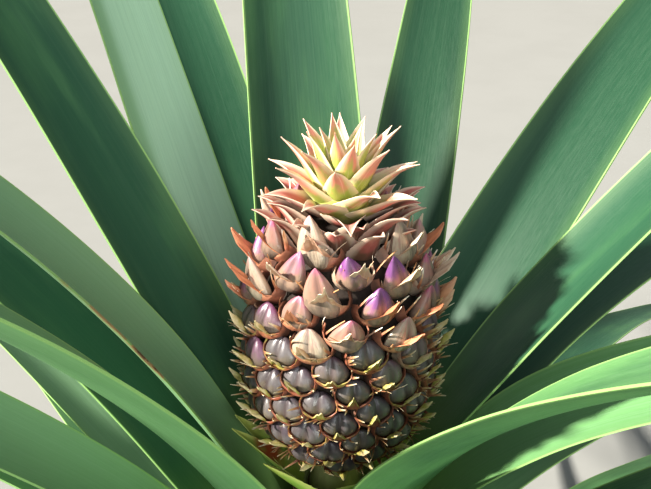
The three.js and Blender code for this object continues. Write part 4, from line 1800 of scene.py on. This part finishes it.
@dataclass
class FootBracts:
    """The small toothed leaves round the foot of the fruit."""

    bracts: int = 10
    turn: float = 0.7
    length: float = 36.0
    extra: float = 22.0
    room_azimuth: float = 3.75
    width: float = 24.0
    thickness: float = 1.4
    collar_radius: float = 19.0
    ring_height: float = 5.5
    ring_radius: float = 0.0172
    ring_thickness: float = 0.0019
    ruddy: int = 9
    # These colours are brightened well above the bracts' own green, as painted sunlight on them.
    upper: LeafletFinish = LeafletFinish(
        "foot_upper", (0.44, 0.60, 0.080), (0.36, 0.60, 0.090), (0.60, 0.70, 0.13), (0.74, 0.80, 0.22)
    )
    under: LeafletFinish = LeafletFinish(
        "foot_under", (0.42, 0.58, 0.10), (0.34, 0.56, 0.12), (0.56, 0.64, 0.16), (0.72, 0.78, 0.26)
    )
    rim: LeafletFinish = LeafletFinish(
        "foot_margin", (0.50, 0.60, 0.16), (0.60, 0.66, 0.20), (0.66, 0.56, 0.22), (0.70, 0.70, 0.28)
    )
    ring: GrainFinish = GrainFinish("foot_collar", (0.30, 0.36, 0.12), (0.20, 0.22, 0.08))

    def _bract(self, number: int) -> SmallBlade:
        """Lays out a bract, longer on the side where there is room.

        Args:
            number: Its number, 0 for the lowest.

        Returns:
            The bract.
        """
        azimuth = number * GOLDEN_ANGLE + self.turn
        return SmallBlade(
            name=f"foot_bract_{number + 1:02d}",
            azimuth=azimuth,
            radius=self.collar_radius - 2.5,
            height=STEM_TOP + 3 + 0.3 * number,
            length=self.length + self.extra * max(0.0, math.cos(azimuth - self.room_azimuth)),
            width=self.width,
            lean_low=48,
            lean_tip=52,
            thickness=self.thickness,
            number=number,
            tone=wave(number, -0.15, 0.15),
            teeth=0.22,
            blush=0.95 if number == self.ruddy else 0.0,
        )

    def build(self) -> None:
        """Makes every bract and the collar that they stand on."""
        materials = [finish.build() for finish in (self.upper, self.under, self.rim)]
        for number in range(self.bracts):
            bract = self._bract(number).build(materials, None, 0.0)
            settle(bract, NodeName.FOOT_BRACTS.value)
        deselect()
        bpy.ops.mesh.primitive_torus_add(
            location=(0, 0, (STEM_TOP + self.ring_height) * MM),
            major_segments=48,
            minor_segments=14,
            major_radius=self.ring_radius,
            minor_radius=self.ring_thickness,
        )
        collar = name_new("foot_collar")
        bpy.ops.object.transform_apply(location=True, rotation=True, scale=True)
        dress(collar, [self.ring.build()])
        settle(collar, NodeName.FOOT_BRACTS.value)
        LOG.info("foot bracts: %d", self.bracts)


@dataclass
class Stem:
    """The stem with its leaf scars, and the stalk above it."""

    scars: int = 44
    rings_between: int = 3
    scar_height: float = 0.9
    scar_depth: float = 1.0
    stalk_gap: float = 0.3
    stalk_rings: int = 12
    stalk_low_radius: float = 15.0
    stalk_high_radius: float = 12.5
    stalk_inset: float = 0.4
    stalk_top: float = 379.0
    sides: int = 64
    bark: GrainFinish = GrainFinish(
        "stem_bark",
        (0.30, 0.21, 0.11),
        (0.12, 0.075, 0.035),
        roughness=0.85,
        grain=160,
        stretch=(1.0, 1.0, 3.0),
        relief=0.0012,
        share=0.8,
    )
    green: GrainFinish = GrainFinish(
        "stalk_green",
        (0.30, 0.34, 0.12),
        (0.20, 0.19, 0.08),
        roughness=0.65,
        grain=260,
        stretch=(1.0, 1.0, 0.3),
    )

    def _column(self, name: str, heights: np.ndarray, radii: np.ndarray, finish: GrainFinish) -> Piece:
        """Makes a closed round column.

        Args:
            name: Name of the piece.
            heights: Heights of its rings, from the foot up.
            radii: Radius at each.
            finish: Its finish.

        Returns:
            The column.
        """
        deselect()
        bpy.ops.mesh.primitive_circle_add(vertices=self.sides, radius=1, fill_type="TRIFAN")
        column = name_new(name)
        bpy.ops.object.mode_set(mode="EDIT")
        bpy.ops.mesh.select_all(action="SELECT")
        for _ in range(len(heights) - 1):
            bpy.ops.mesh.extrude_region_move(TRANSFORM_OT_translate={"value": (0, 0, 1)})
        bpy.ops.mesh.select_all(action="SELECT")
        bpy.ops.mesh.normals_make_consistent(inside=False)
        bpy.ops.object.mode_set(mode="OBJECT")
        flat = points_of(column)
        ring = np.clip(np.round(flat[:, 2]).astype(int), 0, len(heights) - 1)
        turn = np.arctan2(flat[:, 1], flat[:, 0])
        broad, fine = np.sin(5 * turn + heights[ring] / 17), np.sin(11 * turn - heights[ring] / 9)
        rough = radii[ring] * (1 + 0.012 * broad + 0.008 * fine)
        set_points(column, np.stack([flat[:, 0] * rough, flat[:, 1] * rough, heights[ring]], axis=1) * MM)
        dress(column, [finish.build()], 70.0)
        return column

    def build(self) -> None:
        """Makes the stem and the stalk."""
        heights = np.linspace(0, STEM_TOP, self.scars * self.rings_between + 1)
        ridge = self.scar_height * np.abs(np.sin(heights / STEM_TOP * math.pi * self.scars))
        radii = np.array([stem_radius(height) for height in heights]) - self.scar_depth + ridge
        radii[0] = stem_radius(0)
        settle(self._column("stem_column", heights, radii, self.bark), NodeName.STEM.value)
        levels = np.linspace(STEM_TOP + self.stalk_gap, self.stalk_top, self.stalk_rings)
        widths = np.linspace(self.stalk_low_radius, self.stalk_high_radius, self.stalk_rings)
        widths -= self.stalk_inset
        settle(self._column("stalk_column", levels, widths, self.green), NodeName.STALK.value)
        LOG.info("stem and stalk")


@dataclass(frozen=True)
class Lamp:
    """A light that looks at the plant. Its power is in watts, a sun's in watts for each square metre."""

    name: str
    kind: str
    towards: tuple[float, float, float]
    power: float
    tint: Colour
    options: dict[str, float]

    def build(self, centre: Vector) -> None:
        """Makes the light.

        Args:
            centre: Middle of the plant, in metres.
        """
        data = bpy.data.lights.new(self.name, self.kind)
        data.energy = self.power
        data.color = self.tint
        for option, value in self.options.items():
            setattr(data, option, value)
        lamp = bpy.data.objects.new(self.name, data)
        lamp.location = centre + Vector(self.towards)
        lamp.rotation_euler = Vector(self.towards).to_track_quat("Z", "Y").to_euler()
        bpy.context.collection.objects.link(lamp)


@dataclass
class Studio:
    """Pale floor, soft lights and the camera at the photograph's angle."""

    lens: float = 55.3
    sensor: float = 36.0
    nearest: float = 0.01
    pitch: float = math.radians(26)
    camera_place: tuple[float, float, float] = (-0.0060, -0.4066, 0.6826)
    centre: tuple[float, float, float] = (0.0, 0.0, 0.45)
    floor_side: float = 16.0
    floor_drop: float = 0.0005
    sky: Colour = (0.85, 0.93, 1.0)
    sky_strength: float = 0.34
    pale: GrainFinish = GrainFinish(
        "floor_pale",
        (0.26, 0.26, 0.25),
        (0.245, 0.245, 0.235),
        roughness=0.9,
        grain=6,
        relief=0.0,
        specular=0.0,
    )
    lamps: tuple[Lamp, ...] = (
        Lamp("key", "SUN", (-6.17, -1.54, 3.97), 14.7, (1.0, 0.95, 0.85), {"angle": math.radians(3.8)}),
        Lamp("fill", "AREA", (0.4, -3.3, 1.35), 60, (0.92, 0.97, 1.0), {"size": 2.4}),
        Lamp(
            "bounce",
            "AREA",
            (0.9, -2.2, -0.10),
            6.8,
            (0.96, 1.0, 0.92),
            {"size": 0.66, "spread": math.pi / 2},
        ),
        Lamp("top", "AREA", (0.4, -0.2, 2.4), 10, (0.95, 0.98, 1.0), {"size": 2.0}),
    )

    def _floor(self) -> None:
        """Makes the floor."""
        deselect()
        bpy.ops.mesh.primitive_plane_add(size=self.floor_side, location=(0, 0, -self.floor_drop))
        floor = name_new("floor")
        dress(floor, [self.pale.build()])

    def _camera(self) -> None:
        """Makes the camera."""
        data = bpy.data.cameras.new("camera")
        data.sensor_width = self.sensor
        data.lens = self.lens
        data.clip_start = self.nearest
        camera = bpy.data.objects.new("camera", data)
        camera.location = self.camera_place
        camera.rotation_euler = (math.pi / 2 - self.pitch, 0, 0)
        bpy.context.collection.objects.link(camera)
        bpy.context.scene.camera = camera

    def build(self) -> None:
        """Makes the floor, the lights and the camera."""
        self._floor()
        world = bpy.context.scene.world or bpy.data.worlds.new("studio")
        bpy.context.scene.world = world
        world.use_nodes = True
        sky = world.node_tree.nodes["Background"]
        sky.inputs["Color"].default_value = (*self.sky, 1)
        sky.inputs["Strength"].default_value = self.sky_strength
        for lamp in self.lamps:
            lamp.build(Vector(self.centre))
        bpy.context.scene.view_settings.view_transform = "Standard"
        self._camera()


def main() -> None:
    """Builds the plant and its studio."""
    logging.basicConfig(level=logging.INFO, format="%(name)s: %(message)s")
    Stem().build()
    Rosette().build()
    FootBracts().build()
    Fruit().build()
    Crown().build()
    Studio().build()


if __name__ == "__main__":
    main()
